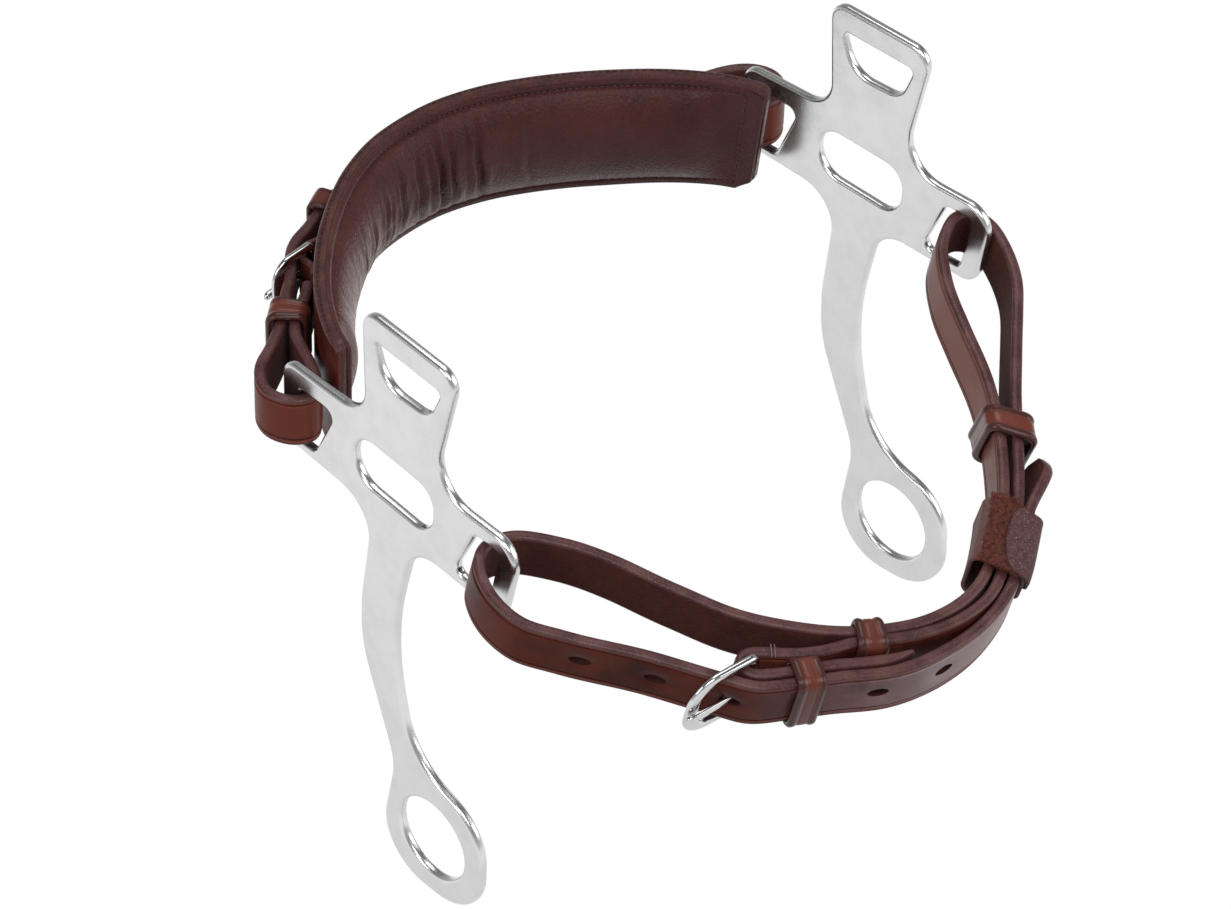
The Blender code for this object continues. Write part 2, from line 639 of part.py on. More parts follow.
def add_nose_side(prefix, side, reach, nose):
    nose = nose.moved(BILLET_PLANE, side)
    heel_mark = NOSE_HEEL_STATION * nose.length
    heel = nose.offset(heel_mark, -NOSE_HEEL_HEIGHT)
    heading = math.radians(NOSE_BUCKLE_HEADING)
    toe = heel + NOSE_BUCKLE_LENGTH * np.array([math.cos(heading), math.sin(heading)])
    ahead, out = add_buckle(prefix, nose, heel, toe, np.array([0.6, -0.8]), NOSE_BUCKLE_LENGTH)

    # Billet: sewn end, round the lever's front bar, through the buckle to its tip
    billet = Route(billet_points(nose, heel_mark, reach), BILLET_PLANE, side)
    points, faces = strap_solid(billet, billet.stations(), STRAP_THICKNESS, tip_at=billet.length)
    item = add_solid(prefix + "_billet", points, faces, MATERIALS["brown"])
    lift = BUCKLE_BAR_RADIUS + GAP + 0.5 * PRONG_THICKNESS
    crossing = nearest_to_line(billet, heel + lift * out, ahead, 0.55 * billet.length)
    cutters = []
    for index, shift in enumerate((-HOLE_PITCH, 0.0, HOLE_PITCH)):
        name = prefix + "_hole_cutter_" + str(index)
        length = HOLE_LENGTH + (2.4 if shift == 0.0 else 0.0)
        cutters.append(oval_cutter(name, billet, crossing + shift, 2.1, length))
    cut(item, cutters)

    # Chape: the strip that holds the buckle, slotted for the prong
    chape = Route(chape_points(nose, heel_mark), BILLET_PLANE, side)
    points, faces = strap_solid(chape, chape.stations(turn=7.0, step=6.0), CHAPE_THICKNESS)
    item = add_solid(prefix + "_chape", points, faces, MATERIALS["brown"])
    outline = [nose.offset(heel_mark + along, -height)
               for along, height in ((-3.6, -1.0), (6.6, -1.0), (6.6, 9.0), (-3.6, 9.0))]
    half = 0.5 * PRONG_SLOT
    cut(item, [prism_cutter(prefix + "_slot_cutter", chape, outline, -half, half)])

    # The loose keeper holds both layers of the billet just behind the lever
    inner_mark = billet.nearest(KEEPER_SPOT, 0.0, 0.4 * billet.length)
    outer = copy.copy(billet)
    outer.line = billet.line[int(0.5 * len(billet.line)):]
    apart = max(billet.distance_to(outer, inner_mark + shift, -1.0) for shift in (-4.0, 0.0, 4.0))
    margin = 0.5 * STRAP_THICKNESS + KEEPER_CLEARANCE + 0.5 * KEEPER_THICKNESS
    half = 0.5 * STRAP_WIDTH + KEEPER_CLEARANCE + 0.5 * KEEPER_THICKNESS
    loop = keeper_loop(-apart - margin, margin, half, 1.6)
    points, faces = band_solid(billet, inner_mark, loop, 8.0, KEEPER_THICKNESS)
    add_solid(prefix + "_loop_keeper", points, faces, MATERIALS["keeper"],
              billet.place(inner_mark))

    # The fixed keeper is an arch whose feet stand on the noseband
    high = -(TIP_HEIGHT + margin + 0.4)
    arch = [(-1.5 * GAP, -half), (-2.4, -half), (high + 1.6, -half), (high + 0.5, -half + 0.45),
            (high, -half + 1.6), (high, 0.0), (high, half - 1.6), (high + 0.5, half - 0.45),
            (high + 1.6, half), (-2.4, half), (-1.5 * GAP, half)]
    points, faces = band_solid(nose, heel_mark - 20.5, arch, 8.0, KEEPER_THICKNESS, closed=False)
    add_solid(prefix + "_tip_keeper", points, faces, MATERIALS["keeper"])


def nearest_to_line(route, start, direction, low):
    # The mark past `low` where a route crosses a straight line
    gaps = route.line - start
    across = np.abs(gaps[:, 0] * direction[1] - gaps[:, 1] * direction[0])
    ahead = gaps @ direction
    fits = (route.marks > low) & (ahead > 1.0) & (ahead < 22.0)
    return float(route.marks[np.argmin(np.where(fits, across, 1e9))])


# Curb strap

def curb_routes(plane):
    # One strap: turned-back end, fold round the heel bar, outside run to the right lever,
    # inner run under the chin to the left lever, outside run back through the buckle
    outer = Route(OUTER_RUN, plane)
    turned = []
    for spot in ((30.6, 89.6), (37.1, 86.9), (44.0, 83.0), (51.0, 78.7), (58.0, 74.8), (65.0, 71.0)):
        turned.append(tuple(outer.offset(outer.nearest(spot), 3.85)))
    heel = np.array(CURB_HEEL)
    fold = []
    for degrees in (38.0, -12.0, -62.0, -112.0):
        turn = math.radians(degrees)
        fold.append(tuple(heel + FOLD_RADIUS * np.array([math.cos(turn), math.sin(turn)])))
    fold.append((61.4, 60.4))
    whole = Route(turned + fold + MIDDLE_RUN + INNER_RUN + OUTER_RUN, plane)
    return whole, Route(INNER_RUN, plane), Route(MIDDLE_RUN, plane), outer


def add_curb(plane):
    whole, inner, middle, outer = curb_routes(plane)
    points, faces = strap_solid(whole, whole.stations(), STRAP_THICKNESS, tip_at=whole.length)
    item = add_solid("curb_strap", points, faces, MATERIALS["brown"])

    ahead, out = add_buckle("curb", whole, CURB_HEEL, CURB_TOE, np.array([0.2, 1.0]),
                            CURB_BUCKLE_LENGTH)
    heel = np.array(CURB_HEEL)
    lift = BUCKLE_BAR_RADIUS + GAP + 0.5 * PRONG_THICKNESS
    crossing = nearest_to_line(whole, heel + lift * out, ahead, 0.7 * whole.length)
    cutters = []
    for index, count in enumerate((-2, -1, 0, 1, 2, 3)):
        mark = crossing + count * HOLE_PITCH
        cutters.append(oval_cutter("curb_hole_cutter_" + str(index), whole, mark, 1.85))
    slot = []
    for step in range(11):
        turn = math.radians(-130.0 + 26.0 * step)
        slot.append(heel + 5.25 * (math.cos(turn) * ahead + math.sin(turn) * out))
    half = 0.5 * PRONG_SLOT
    cutters.append(prism_cutter("curb_slot_cutter", whole, slot, -half, half))
    cut(item, cutters)

    margin = 0.5 * STRAP_THICKNESS + KEEPER_CLEARANCE + 0.5 * KEEPER_THICKNESS
    half = 0.5 * STRAP_WIDTH + KEEPER_CLEARANCE + 0.5 * KEEPER_THICKNESS
    # Fixed keeper by the buckle: round the outside run and the turned-back end
    mark = outer.nearest((58.4, 74.4))
    loop = keeper_loop(-margin, 3.85 + margin, half, 1.6)
    points, faces = band_solid(outer, mark, loop, 8.0, KEEPER_THICKNESS)
    add_solid("curb_fixed_keeper", points, faces, MATERIALS["keeper"], outer.place(mark))

    # Loose keeper: round the inner and middle runs
    mark = inner.nearest((34.0, 73.3))
    apart = max(inner.distance_to(middle, mark + shift) for shift in (-4.0, 0.0, 4.0))
    loop = keeper_loop(-margin, apart + margin, half, 1.6)
    points, faces = band_solid(inner, mark, loop, 8.0, KEEPER_THICKNESS)
    add_solid("curb_loose_keeper", points, faces, MATERIALS["keeper"], inner.place(mark))

    # Far keeper: wider, and leaning along the strap
    mark = inner.nearest((-47.8, 47.0))
    apart = max(inner.distance_to(middle, mark + shift) for shift in (-4.5, 0.0, 4.5))
    loop = keeper_loop(-margin - 0.2, apart + margin + 0.3, half + 0.2, 2.0)
    points, faces = band_solid(inner, mark, loop, 9.0, KEEPER_THICKNESS + 0.2, skew=(0.2, 0.3))
    add_solid("curb_far_keeper", points, faces, MATERIALS["keeper"], inner.place(mark))

    # Hook-and-loop wrap round all three runs, and its free end lapped over it
    mark = inner.nearest((-18.2, 73.4))
    apart = max(inner.distance_to(outer, mark + shift) for shift in (-11.0, 0.0, 11.0))
    low = -(0.5 * STRAP_THICKNESS + 1.1 + 0.5 * WRAP_THICKNESS)
    high = apart + 0.5 * STRAP_THICKNESS + 0.5 + 0.5 * WRAP_THICKNESS
    half = 0.5 * STRAP_WIDTH + 0.7 + 0.5 * WRAP_THICKNESS
    loop = keeper_loop(low, high, half, 2.6)
    points, faces = band_solid(inner, mark, loop, WRAP_LENGTH, WRAP_THICKNESS, skew=(0.12, 0.0))
    add_solid("curb_wrap", points, faces, MATERIALS["wrap"], inner.place(mark))
    lap = 0.5 * WRAP_THICKNESS + 1.5 * GAP + 0.5 * FLAP_THICKNESS
    side_out = high + lap
    top = half + lap
    path = [(side_out, -half + 1.0), (side_out, -3.0), (side_out, 3.0), (side_out, half - 2.6)]
    for step in range(1, 4):
        turn = math.radians(22.5 * step + 11.25)
        radius = 2.6 + lap
        path.append((high - 2.6 + radius * math.cos(turn), half - 2.6 + radius * math.sin(turn)))
    path += [(high - 2.6, top), (high - 4.4, top), (high - 6.0, top), (high - 7.2, top),
             (high - 7.9, top)]
    ends = [0.8, 0.97, 1.0, 1.0, 1.0, 1.0, 1.0, 1.0, 0.96, 0.85, 0.62, 0.36]
    points, faces = band_solid(inner, mark, path, WRAP_LENGTH + 1.0, FLAP_THICKNESS,
                               skew=(0.12, 0.0), closed=False, ends=ends)
    add_solid("curb_wrap_flap", points, faces, MATERIALS["flap"],
              inner.place(mark, side_out, -half + 1.0))


# Assembly

def curb_plane(left_bar, right_bar):
    # Through both rear bars, sloping down to the rear, dropped to the slots' middle
    right = (left_bar - right_bar) / np.linalg.norm(left_bar - right_bar)
    tilt = math.radians(CURB_TILT)
    back = np.array([0.0, math.cos(tilt), -math.sin(tilt)])
    back = back - np.dot(back, right) * right
    back = back / np.linalg.norm(back)
    across = np.cross(right, back)
    return 0.5 * (left_bar + right_bar) - CURB_DROP * across, right, back, across


def level_plane(height):
    return (np.array([0.0, 0.0, height]), np.array([1.0, 0.0, 0.0]),
            np.array([0.0, 1.0, 0.0]), np.array([0.0, 0.0, 1.0]))


clear_scene()
LEVEL_PLANE = level_plane(0.0)
BILLET_PLANE = level_plane(BILLET_RAISE)
MATERIALS = {
    "steel": make_material("polished_steel", (0.72, 0.72, 0.73), 0.12, 1.0),
    "buckle": make_material("buckle_steel", (0.68, 0.68, 0.69), 0.15, 1.0),
    "brown": make_material("brown_leather", (0.11, 0.030, 0.022), 0.42, 0.0),
    "pad": make_material("pad_leather", (0.085, 0.030, 0.028), 0.38, 0.0),
    "keeper": make_material("keeper_leather", (0.16, 0.032, 0.018), 0.28, 0.0),
    "wrap": make_material("wrap_fabric", (0.17, 0.050, 0.025), 0.95, 0.0),
    "flap": make_material("flap_webbing", (0.13, 0.06, 0.06), 0.8, 0.0),
    "cutter": make_material("cutter", (0.5, 0.5, 0.5), 0.5, 0.0)}

left_rear = add_cheek("left_cheek", 1.0, Matrix.Rotation(math.radians(-LEFT_YAW), 4, "Z"))
right_rear = add_cheek("right_cheek", -1.0, Matrix.Rotation(math.radians(RIGHT_PITCH), 4, "X"))
nose = nose_route()
add_noseband(nose)
add_pad(nose)
add_nose_side("left", 1.0, 0.0, nose)
add_nose_side("right", -1.0, RIGHT_LOOP_REACH, nose)
add_curb(curb_plane(left_rear, right_rear))
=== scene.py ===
import math

import bmesh
import bpy
import numpy as np
from mathutils import Matrix


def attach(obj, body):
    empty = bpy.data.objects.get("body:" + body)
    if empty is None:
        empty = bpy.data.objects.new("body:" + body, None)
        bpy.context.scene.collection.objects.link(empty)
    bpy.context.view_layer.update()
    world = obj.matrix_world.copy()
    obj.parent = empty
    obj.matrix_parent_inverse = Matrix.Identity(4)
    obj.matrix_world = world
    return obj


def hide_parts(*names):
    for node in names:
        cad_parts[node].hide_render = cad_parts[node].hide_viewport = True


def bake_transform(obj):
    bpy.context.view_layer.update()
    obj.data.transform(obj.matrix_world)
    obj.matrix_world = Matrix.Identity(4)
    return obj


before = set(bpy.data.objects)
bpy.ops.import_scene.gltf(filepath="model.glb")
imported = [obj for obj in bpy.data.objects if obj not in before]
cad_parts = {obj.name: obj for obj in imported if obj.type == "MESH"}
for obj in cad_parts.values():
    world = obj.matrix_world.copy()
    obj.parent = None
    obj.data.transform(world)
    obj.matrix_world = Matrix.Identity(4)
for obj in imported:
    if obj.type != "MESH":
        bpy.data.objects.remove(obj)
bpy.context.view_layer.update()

# A bitless hackamore: two polished levers, a padded noseband and a buckled curb strap.
# Shapes are worked out in millimetres and written to the meshes in metres.
# The horse's nose points along -Y, its left side is +X and up is +Z.

millimetre = 0.001
seam = 0.3                      # air between pieces that touch
print("frame loaded:", len(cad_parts), "solids")


# Small sums that many shapes use

def unit(vectors):
    # Each vector divided by its length
    return vectors / np.linalg.norm(vectors, axis=-1, keepdims=True)


def runLengths(points):
    # How far each point is from the first, along the line through them
    return np.append(0, np.cumsum(np.linalg.norm(np.diff(points, axis=0), axis=1)))


def smoothStep(value, low, high):
    # 0 up to low and 1 from high; between them 3 s^2 - 2 s^3 of the share s
    share = np.clip((value - low) / (high - low), 0, 1)
    return share * share * (3 - 2 * share)


def closeness(distance, reach):
    # 1 at no distance, falling evenly to 0 at reach
    return np.clip(1 - distance / reach, 0, 1)


def bell(value, middle, width):
    # exp(-((value - middle) / width)^2), a bell curve
    return np.exp(-((value - middle) / width) ** 2)


def squarer(wave, power):
    # A sine or cosine to a power below 1 with its sign kept, which squares off a circle
    return np.sign(wave) * np.abs(wave) ** power


# Meshes from grids of points

def writeMesh(name, grids, materials, along=None, around=None, columnSlots=None, closedPath=False,
              capSlot=0):
    # grids is (piece, row, column, xyz), each row a closed ring; neighbours are joined by quads,
    # an open path is closed by one face at each end, and the volume's sign turns them outward.
    # UVs are the lengths along the path and around the ring
    grids = np.asarray(grids, float)
    if grids.ndim == 3:
        grids = grids[None]
    pieces, rows, columns = grids.shape[:3]
    along = np.arange(rows + 1.0) if along is None else np.append(along, 2 * along[-1] - along[-2])
    around = np.arange(columns + 1.0) if around is None else around
    row = np.arange(rows if closedPath else rows - 1)[:, None]
    column = np.arange(columns)[None, :]
    nextRow = (row + 1) % rows
    nextColumn = (column + 1) % columns
    quads = np.stack([row * columns + column, row * columns + nextColumn,
                      nextRow * columns + nextColumn, nextRow * columns + column], -1)
    shape = quads.shape[:2]
    u = np.stack([np.broadcast_to(along[row + step], shape) for step in (0, 0, 1, 1)], -1)
    v = np.stack([np.broadcast_to(around[column + step], shape) for step in (0, 1, 1, 0)], -1)
    slots = np.zeros(columns, int) if columnSlots is None else np.asarray(columnSlots)
    slots = np.broadcast_to(slots[column], shape).ravel()
    loops = quads.ravel()
    sizes = np.full(slots.size, 4)
    uv = np.stack([u.ravel(), v.ravel()], -1)
    if not closedPath:
        ends = [np.arange(columns)[::-1], (rows - 1) * columns + np.arange(columns)]
        loops = np.concatenate([loops] + ends)
        sizes = np.concatenate([sizes, [columns, columns]])
        slots = np.concatenate([slots, [capSlot, capSlot]])
        edgeUv = np.stack([np.full(columns, along[0]), around[:-1]], -1)
        uv = np.concatenate([uv, edgeUv, edgeUv])
    shift = np.arange(pieces)[:, None] * rows * columns
    loops = (loops[None, :] + shift).ravel()
    sizes = np.tile(sizes, pieces)
    slots = np.tile(slots, pieces)
    uv = np.tile(uv, (pieces, 1))
    points = grids.reshape(-1, 3)
    starts = np.concatenate([[0], np.cumsum(sizes)[:-1]])
    centred = points - points.mean(0)
    isQuad = sizes == 4
    a, b, c, d = [centred[loops[starts[isQuad] + step]] for step in range(4)]
    volume = np.einsum("ij,ij->", a, np.cross(b, c)) + np.einsum("ij,ij->", a, np.cross(c, d))
    if volume < 0:
        owner = np.repeat(np.arange(sizes.size), sizes)
        place = np.arange(loops.size) - starts[owner]
        turned = starts[owner] + sizes[owner] - 1 - place
        loops = loops[turned]
        uv = uv[turned]
    mesh = bpy.data.meshes.new(name)
    mesh.vertices.add(len(points))
    mesh.vertices.foreach_set("co", (points * millimetre).astype(np.float32).ravel())
    mesh.loops.add(len(loops))
    mesh.loops.foreach_set("vertex_index", loops.astype(np.int32))
    mesh.polygons.add(len(sizes))
    mesh.polygons.foreach_set("loop_start", starts.astype(np.int32))
    mesh.polygons.foreach_set("material_index", slots.astype(np.int32))
    layer = mesh.uv_layers.new(name="UVMap")
    mesh.update(calc_edges=True)
    layer.data.foreach_set("uv", (uv * millimetre).astype(np.float32).ravel())
    for material in materials:
        mesh.materials.append(material)
    mesh.validate()
    mesh.shade_smooth()
    item = bpy.data.objects.new(name, mesh)
    bpy.context.collection.objects.link(item)
    return item


def dress(item, body, slot, *nodes):
    # The piece moves with a body and stands for its solids, which are hidden; slot is not used
    if nodes:
        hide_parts(*nodes)
    if body:
        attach(item, body)
    return item


def cutHoles(item, cutters):
    # Takes each peg out of the piece and keeps the result as its mesh, shaded sharp where
    # faces meet by more than 45 degrees
    for cutter in cutters:
        change = item.modifiers.new("hole", "BOOLEAN")
        change.operation = "DIFFERENCE"
        change.solver = "EXACT"
        change.object = cutter
    seen = item.evaluated_get(bpy.context.evaluated_depsgraph_get())
    mesh = bpy.data.meshes.new_from_object(seen)
    item.modifiers.clear()
    item.data = mesh
    mesh.set_sharp_from_angle(angle=math.radians(45.0))
    for cutter in cutters:
        bpy.data.objects.remove(cutter, do_unlink=True)


def filletLoop(corners, steps, inset=0.0):
    # A closed outline whose corners are arcs touching both sides. With an inset, arcs that
    # turn left shrink and arcs that turn right grow, so the loop moves inward everywhere
    corners = np.asarray(corners, float)
    here = corners[:, :2]
    back = np.roll(here, 1, 0) - here
    ahead = np.roll(here, -1, 0) - here
    backLength = np.linalg.norm(back, axis=1)
    aheadLength = np.linalg.norm(ahead, axis=1)
    back = back / backLength[:, None]
    ahead = ahead / aheadLength[:, None]
    half = 0.5 * np.arccos(np.clip((back * ahead).sum(1), -1, 1))
    reach = np.minimum(corners[:, 2] / np.tan(half), 0.499 * np.minimum(backLength, aheadLength))
    radius = reach * np.tan(half)
    middle = here + unit(back + ahead) * (radius / np.sin(half))[:, None]
    start = here + back * reach[:, None] - middle
    finish = here + ahead * reach[:, None] - middle
    first = np.arctan2(start[:, 1], start[:, 0])
    turn = np.arctan2(finish[:, 1], finish[:, 0]) - first
    turn = (turn + np.pi) % (2 * np.pi) - np.pi
    angle = first[:, None] + turn[:, None] * np.linspace(0, 1, steps)[None, :]
    size = radius - inset * np.sign(turn)
    loop = middle[:, None, :] + size[:, None, None] * np.stack([np.cos(angle), np.sin(angle)], -1)
    return loop.reshape(-1, 2)


def loopNormals(loop, closed=True):
    # The outward normal at each point of a left-turning loop: the mean of its two sides'
    # directions turned right, with the stretch that keeps a wall's thickness in a corner
    if closed:
        ahead = np.roll(loop, -1, 0) - loop
        behind = loop - np.roll(loop, 1, 0)
    else:
        ahead = np.vstack([np.diff(loop, axis=0), loop[-1:] - loop[-2:-1]])
        behind = np.vstack([loop[1:2] - loop[:1], np.diff(loop, axis=0)])
    ahead = ahead / np.maximum(np.linalg.norm(ahead, axis=1, keepdims=True), 1e-9)
    behind = behind / np.maximum(np.linalg.norm(behind, axis=1, keepdims=True), 1e-9)
    mean = ahead + behind
    size = np.maximum(np.linalg.norm(mean, axis=1, keepdims=True), 1e-9)
    return np.stack([mean[:, 1], -mean[:, 0]], 1) / size, np.minimum(2.0 / size[:, 0], 1.5)


# Paths that straps follow

class StrapPath:
    # A smooth line in a plane through its points: knots are spaced by the square root of the
    # distance between points, and each stretch blends its four nearest points. A mark is a
    # length along it, "out" points to its left and "width" goes along the plane's normal

    def __init__(self, points, plane, side=1.0):
        # One more point is set in line past each end. Each blend is (t1 - t) / (t1 - t0) of one
        # point plus (t - t0) / (t1 - t0) of the next: three a from the points, two b from
        # those, and the line from these two
        p = np.asarray(points, float)
        p = np.vstack([2 * p[0] - p[1], p, 2 * p[-1] - p[-2]])[:, None, :]
        p0, p1, p2, p3 = p[:-3], p[1:-2], p[2:-1], p[3:]
        t1 = np.sqrt(np.linalg.norm(p1 - p0, axis=2, keepdims=True))
        t2 = t1 + np.sqrt(np.linalg.norm(p2 - p1, axis=2, keepdims=True))
        t3 = t2 + np.sqrt(np.linalg.norm(p3 - p2, axis=2, keepdims=True))
        t = t1 + (t2 - t1) * np.linspace(0, 1, 80, endpoint=False)[None, :, None]
        a1 = (t1 - t) / t1 * p0 + t / t1 * p1
        a2 = (t2 - t) / (t2 - t1) * p1 + (t - t1) / (t2 - t1) * p2
        a3 = (t3 - t) / (t3 - t2) * p2 + (t - t2) / (t3 - t2) * p3
        b1 = (t2 - t) / t2 * a1 + t / t2 * a2
        b2 = (t3 - t) / (t3 - t1) * a2 + (t - t1) / (t3 - t1) * a3
        line = ((t2 - t) / (t2 - t1) * b1 + (t - t1) / (t2 - t1) * b2).reshape(-1, 2)
        self.line = np.vstack([line, p[-2]])
        self.marks = runLengths(self.line)
        self.length = self.marks[-1]
        self.plane = plane
        self.side = side

    def flat(self, marks):
        # Points of the line in its own plane
        return np.stack([np.interp(marks, self.marks, self.line[:, axis]) for axis in (0, 1)], -1)

    def along(self, marks):
        # The line's direction: the step from 0.6 mm before a mark to 0.6 mm past it
        marks = np.asarray(marks, float)
        past = self.flat(np.minimum(marks + 0.6, self.length))
        return unit(past - self.flat(np.maximum(marks - 0.6, 0)))

    def out(self, marks):
        # The direction turned left by 90 degrees
        along = self.along(marks)
        return np.stack([-along[..., 1], along[..., 0]], -1)

    def lift(self, spots, width=0.0):
        # From the plane to the world: origin + x right + y back + width across, mirrored in x
        # for the other side
        origin, right, back, across = self.plane
        spots = np.asarray(spots, float)
        width = np.asarray(width, float)[..., None]
        world = origin + spots[..., :1] * right + spots[..., 1:] * back + width * across
        return world * np.array([self.side, 1.0, 1.0])

    def place(self, marks, out=0.0, width=0.0):
        # The world point at a mark, moved out and across; past its ends the line goes straight on
        marks, out, width = np.broadcast_arrays(np.asarray(marks, float), out, width)
        inside = np.clip(marks, 0, self.length)
        spots = self.flat(inside) + out[..., None] * self.out(inside)
        spots = spots + (marks - inside)[..., None] * self.along(inside)
        return self.lift(spots, width)

    def turn(self, vector, width=0.0):
        # A direction in the plane and along its normal, in the world
        origin = self.lift(np.zeros(2))
        return self.lift(vector, width) - origin

    def nearest(self, spot, low=0.0, high=None):
        # The mark, from low to high, whose point is the least distance from a spot
        inside = (self.marks >= low) & (self.marks <= (self.length if high is None else high))
        distance = np.linalg.norm(self.line - np.asarray(spot), axis=1)
        return float(self.marks[np.argmin(np.where(inside, distance, 1e9))])

    def distanceTo(self, other, mark, sense=1.0):
        # How far out another line is at a mark, where it is least ahead or behind
        gaps = other.line - self.flat(mark)
        out = sense * (gaps @ self.out(mark))
        near = np.where(out > 0.5, np.abs(gaps @ self.along(mark)) + 0.05 * out, 1e9)
        return float(out[np.argmin(near)])

    def moved(self, plane, side):
        # The same line in another plane
        twin = StrapPath.__new__(StrapPath)
        twin.line, twin.marks, twin.length = self.line, self.marks, self.length
        twin.plane, twin.side = plane, side
        return twin

    def after(self, share):
        # The same line without its first part, with the marks kept
        start = int(share * len(self.line))
        twin = self.moved(self.plane, self.side)
        twin.line, twin.marks = self.line[start:], self.marks[start:]
        return twin


def widestGap(path, other, mark, reach, sense=1.0):
    # The largest distance out to another line, at a mark and at a reach before and past it
    return max(path.distanceTo(other, mark + shift, sense) for shift in (-reach, 0.0, reach))


def levelPlane(height):
    # Origin, right, back and across of a level plane
    return (np.array([0.0, 0.0, height]), np.array([1.0, 0.0, 0.0]),
            np.array([0.0, 1.0, 0.0]), np.array([0.0, 0.0, 1.0]))


# Shader nodes

def addNode(tree, kind, inputs=None, **settings):
    # One node; an input that is given a socket is linked, any other gets its value
    node = tree.nodes.new("ShaderNode" + kind)
    for name, value in settings.items():
        setattr(node, name, value)
    for name, value in (inputs or {}).items():
        if isinstance(value, bpy.types.NodeSocket):
            tree.links.new(value, node.inputs[name])
        else:
            node.inputs[name].default_value = value
    return node


def mathNode(tree, operation, first, second=0.0):
    # A sum, product or the like of two values or sockets
    return addNode(tree, "Math", {0: first, 1: second}, operation=operation).outputs[0]


def rangeNode(tree, value, low, high, toLow=0.0, toHigh=1.0):
    # A smooth step of a value from low to high, as a value from toLow to toHigh
    limits = {"Value": value, "From Min": low, "From Max": high, "To Min": toLow, "To Max": toHigh}
    return addNode(tree, "MapRange", limits, interpolation_type="SMOOTHSTEP").outputs[0]


def bandNode(tree, value, middle, inside, outside, share=1.0):
    # share where a value is less than inside from the middle, falling to 0 at outside
    away = mathNode(tree, "ABSOLUTE", mathNode(tree, "SUBTRACT", value, middle))
    return rangeNode(tree, away, inside, outside, share, 0.0)


def mixColours(tree, factor, first, second):
    # (1 - factor) first + factor second
    first = (*first, 1.0) if isinstance(first, tuple) else first
    second = (*second, 1.0) if isinstance(second, tuple) else second
    return addNode(tree, "Mix", {0: factor, 6: first, 7: second}, data_type="RGBA").outputs[2]


def noiseNode(tree, vector, scale, detail, roughness, distortion=0.0):
    # Noise from 0 to 1 with scale waves in a metre
    node = addNode(tree, "TexNoise", {"Vector": vector, "Scale": scale, "Detail": detail,
                                      "Roughness": roughness, "Distortion": distortion})
    return node.outputs["Fac"]


def newGroup(name, inputs, outputs):
    # An empty group with float or vector inputs and float outputs
    tree = bpy.data.node_groups.new(name, "ShaderNodeTree")
    for socket, kind, value in inputs:
        made = tree.interface.new_socket(name=socket, in_out="INPUT",
                                         socket_type="NodeSocket" + kind)
        if value is not None:
            made.default_value = value
    for socket in outputs:
        tree.interface.new_socket(name=socket, in_out="OUTPUT", socket_type="NodeSocketFloat")
    enter = tree.nodes.new("NodeGroupInput").outputs
    leave = tree.nodes.new("NodeGroupOutput").inputs
    return tree, enter, leave


def leatherGrainGroup():
    # Pores as rounded cells with a fine noise over them, and a cloudy tone
    tree, enter, leave = newGroup("leather grain",
                                  [("Vector", "Vector", None), ("Cells", "Float", 1100.0)],
                                  ["Height", "Tone", "Fine"])
    cells = addNode(tree, "TexVoronoi", {"Vector": enter["Vector"], "Scale": enter["Cells"],
                                         "Smoothness": 0.6, "Randomness": 1.0}, feature="SMOOTH_F1")
    fine = noiseNode(tree, enter["Vector"], 2600.0, 3.0, 0.6)
    cloud = noiseNode(tree, enter["Vector"], 70.0, 4.0, 0.6, 0.4)
    pores = mathNode(tree, "MULTIPLY", cells.outputs["Distance"], 0.7)
    height = mathNode(tree, "ADD", pores, mathNode(tree, "MULTIPLY", fine, 0.5))
    tree.links.new(height, leave["Height"])
    tree.links.new(cloud, leave["Tone"])
    tree.links.new(fine, leave["Fine"])
    return tree


def napGroup():
    # Short fibres of a rough side: fine noise, stretched a little along the strap
    tree, enter, leave = newGroup("leather nap", [("Vector", "Vector", None)], ["Height", "Tone"])
    stretched = addNode(tree, "Mapping", {"Vector": enter["Vector"], "Scale": (0.45, 1.0, 1.0)})
    fibres = noiseNode(tree, stretched.outputs[0], 1500.0, 5.0, 0.7, 0.8)
    cloud = noiseNode(tree, enter["Vector"], 120.0, 4.0, 0.65, 0.5)
    tree.links.new(fibres, leave["Height"])
    tree.links.new(mathNode(tree, "ADD", mathNode(tree, "MULTIPLY", fibres, 0.6),
                            mathNode(tree, "MULTIPLY", cloud, 0.4)), leave["Tone"])
    return tree


def wearGroup():
    # Broad soft patches where handling has lifted the finish, with a few streaks
    tree, enter, leave = newGroup("handling wear", [("Vector", "Vector", None)],
                                  ["Patches", "Streaks"])
    patches = noiseNode(tree, enter["Vector"], 38.0, 3.0, 0.55, 0.6)
    stretched = addNode(tree, "Mapping", {"Vector": enter["Vector"], "Scale": (0.12, 1.0, 1.0)})
    streaks = noiseNode(tree, stretched.outputs[0], 900.0, 2.0, 0.5)
    tree.links.new(rangeNode(tree, patches, 0.45, 0.7), leave["Patches"])
    tree.links.new(rangeNode(tree, streaks, 0.56, 0.72), leave["Streaks"])
    return tree


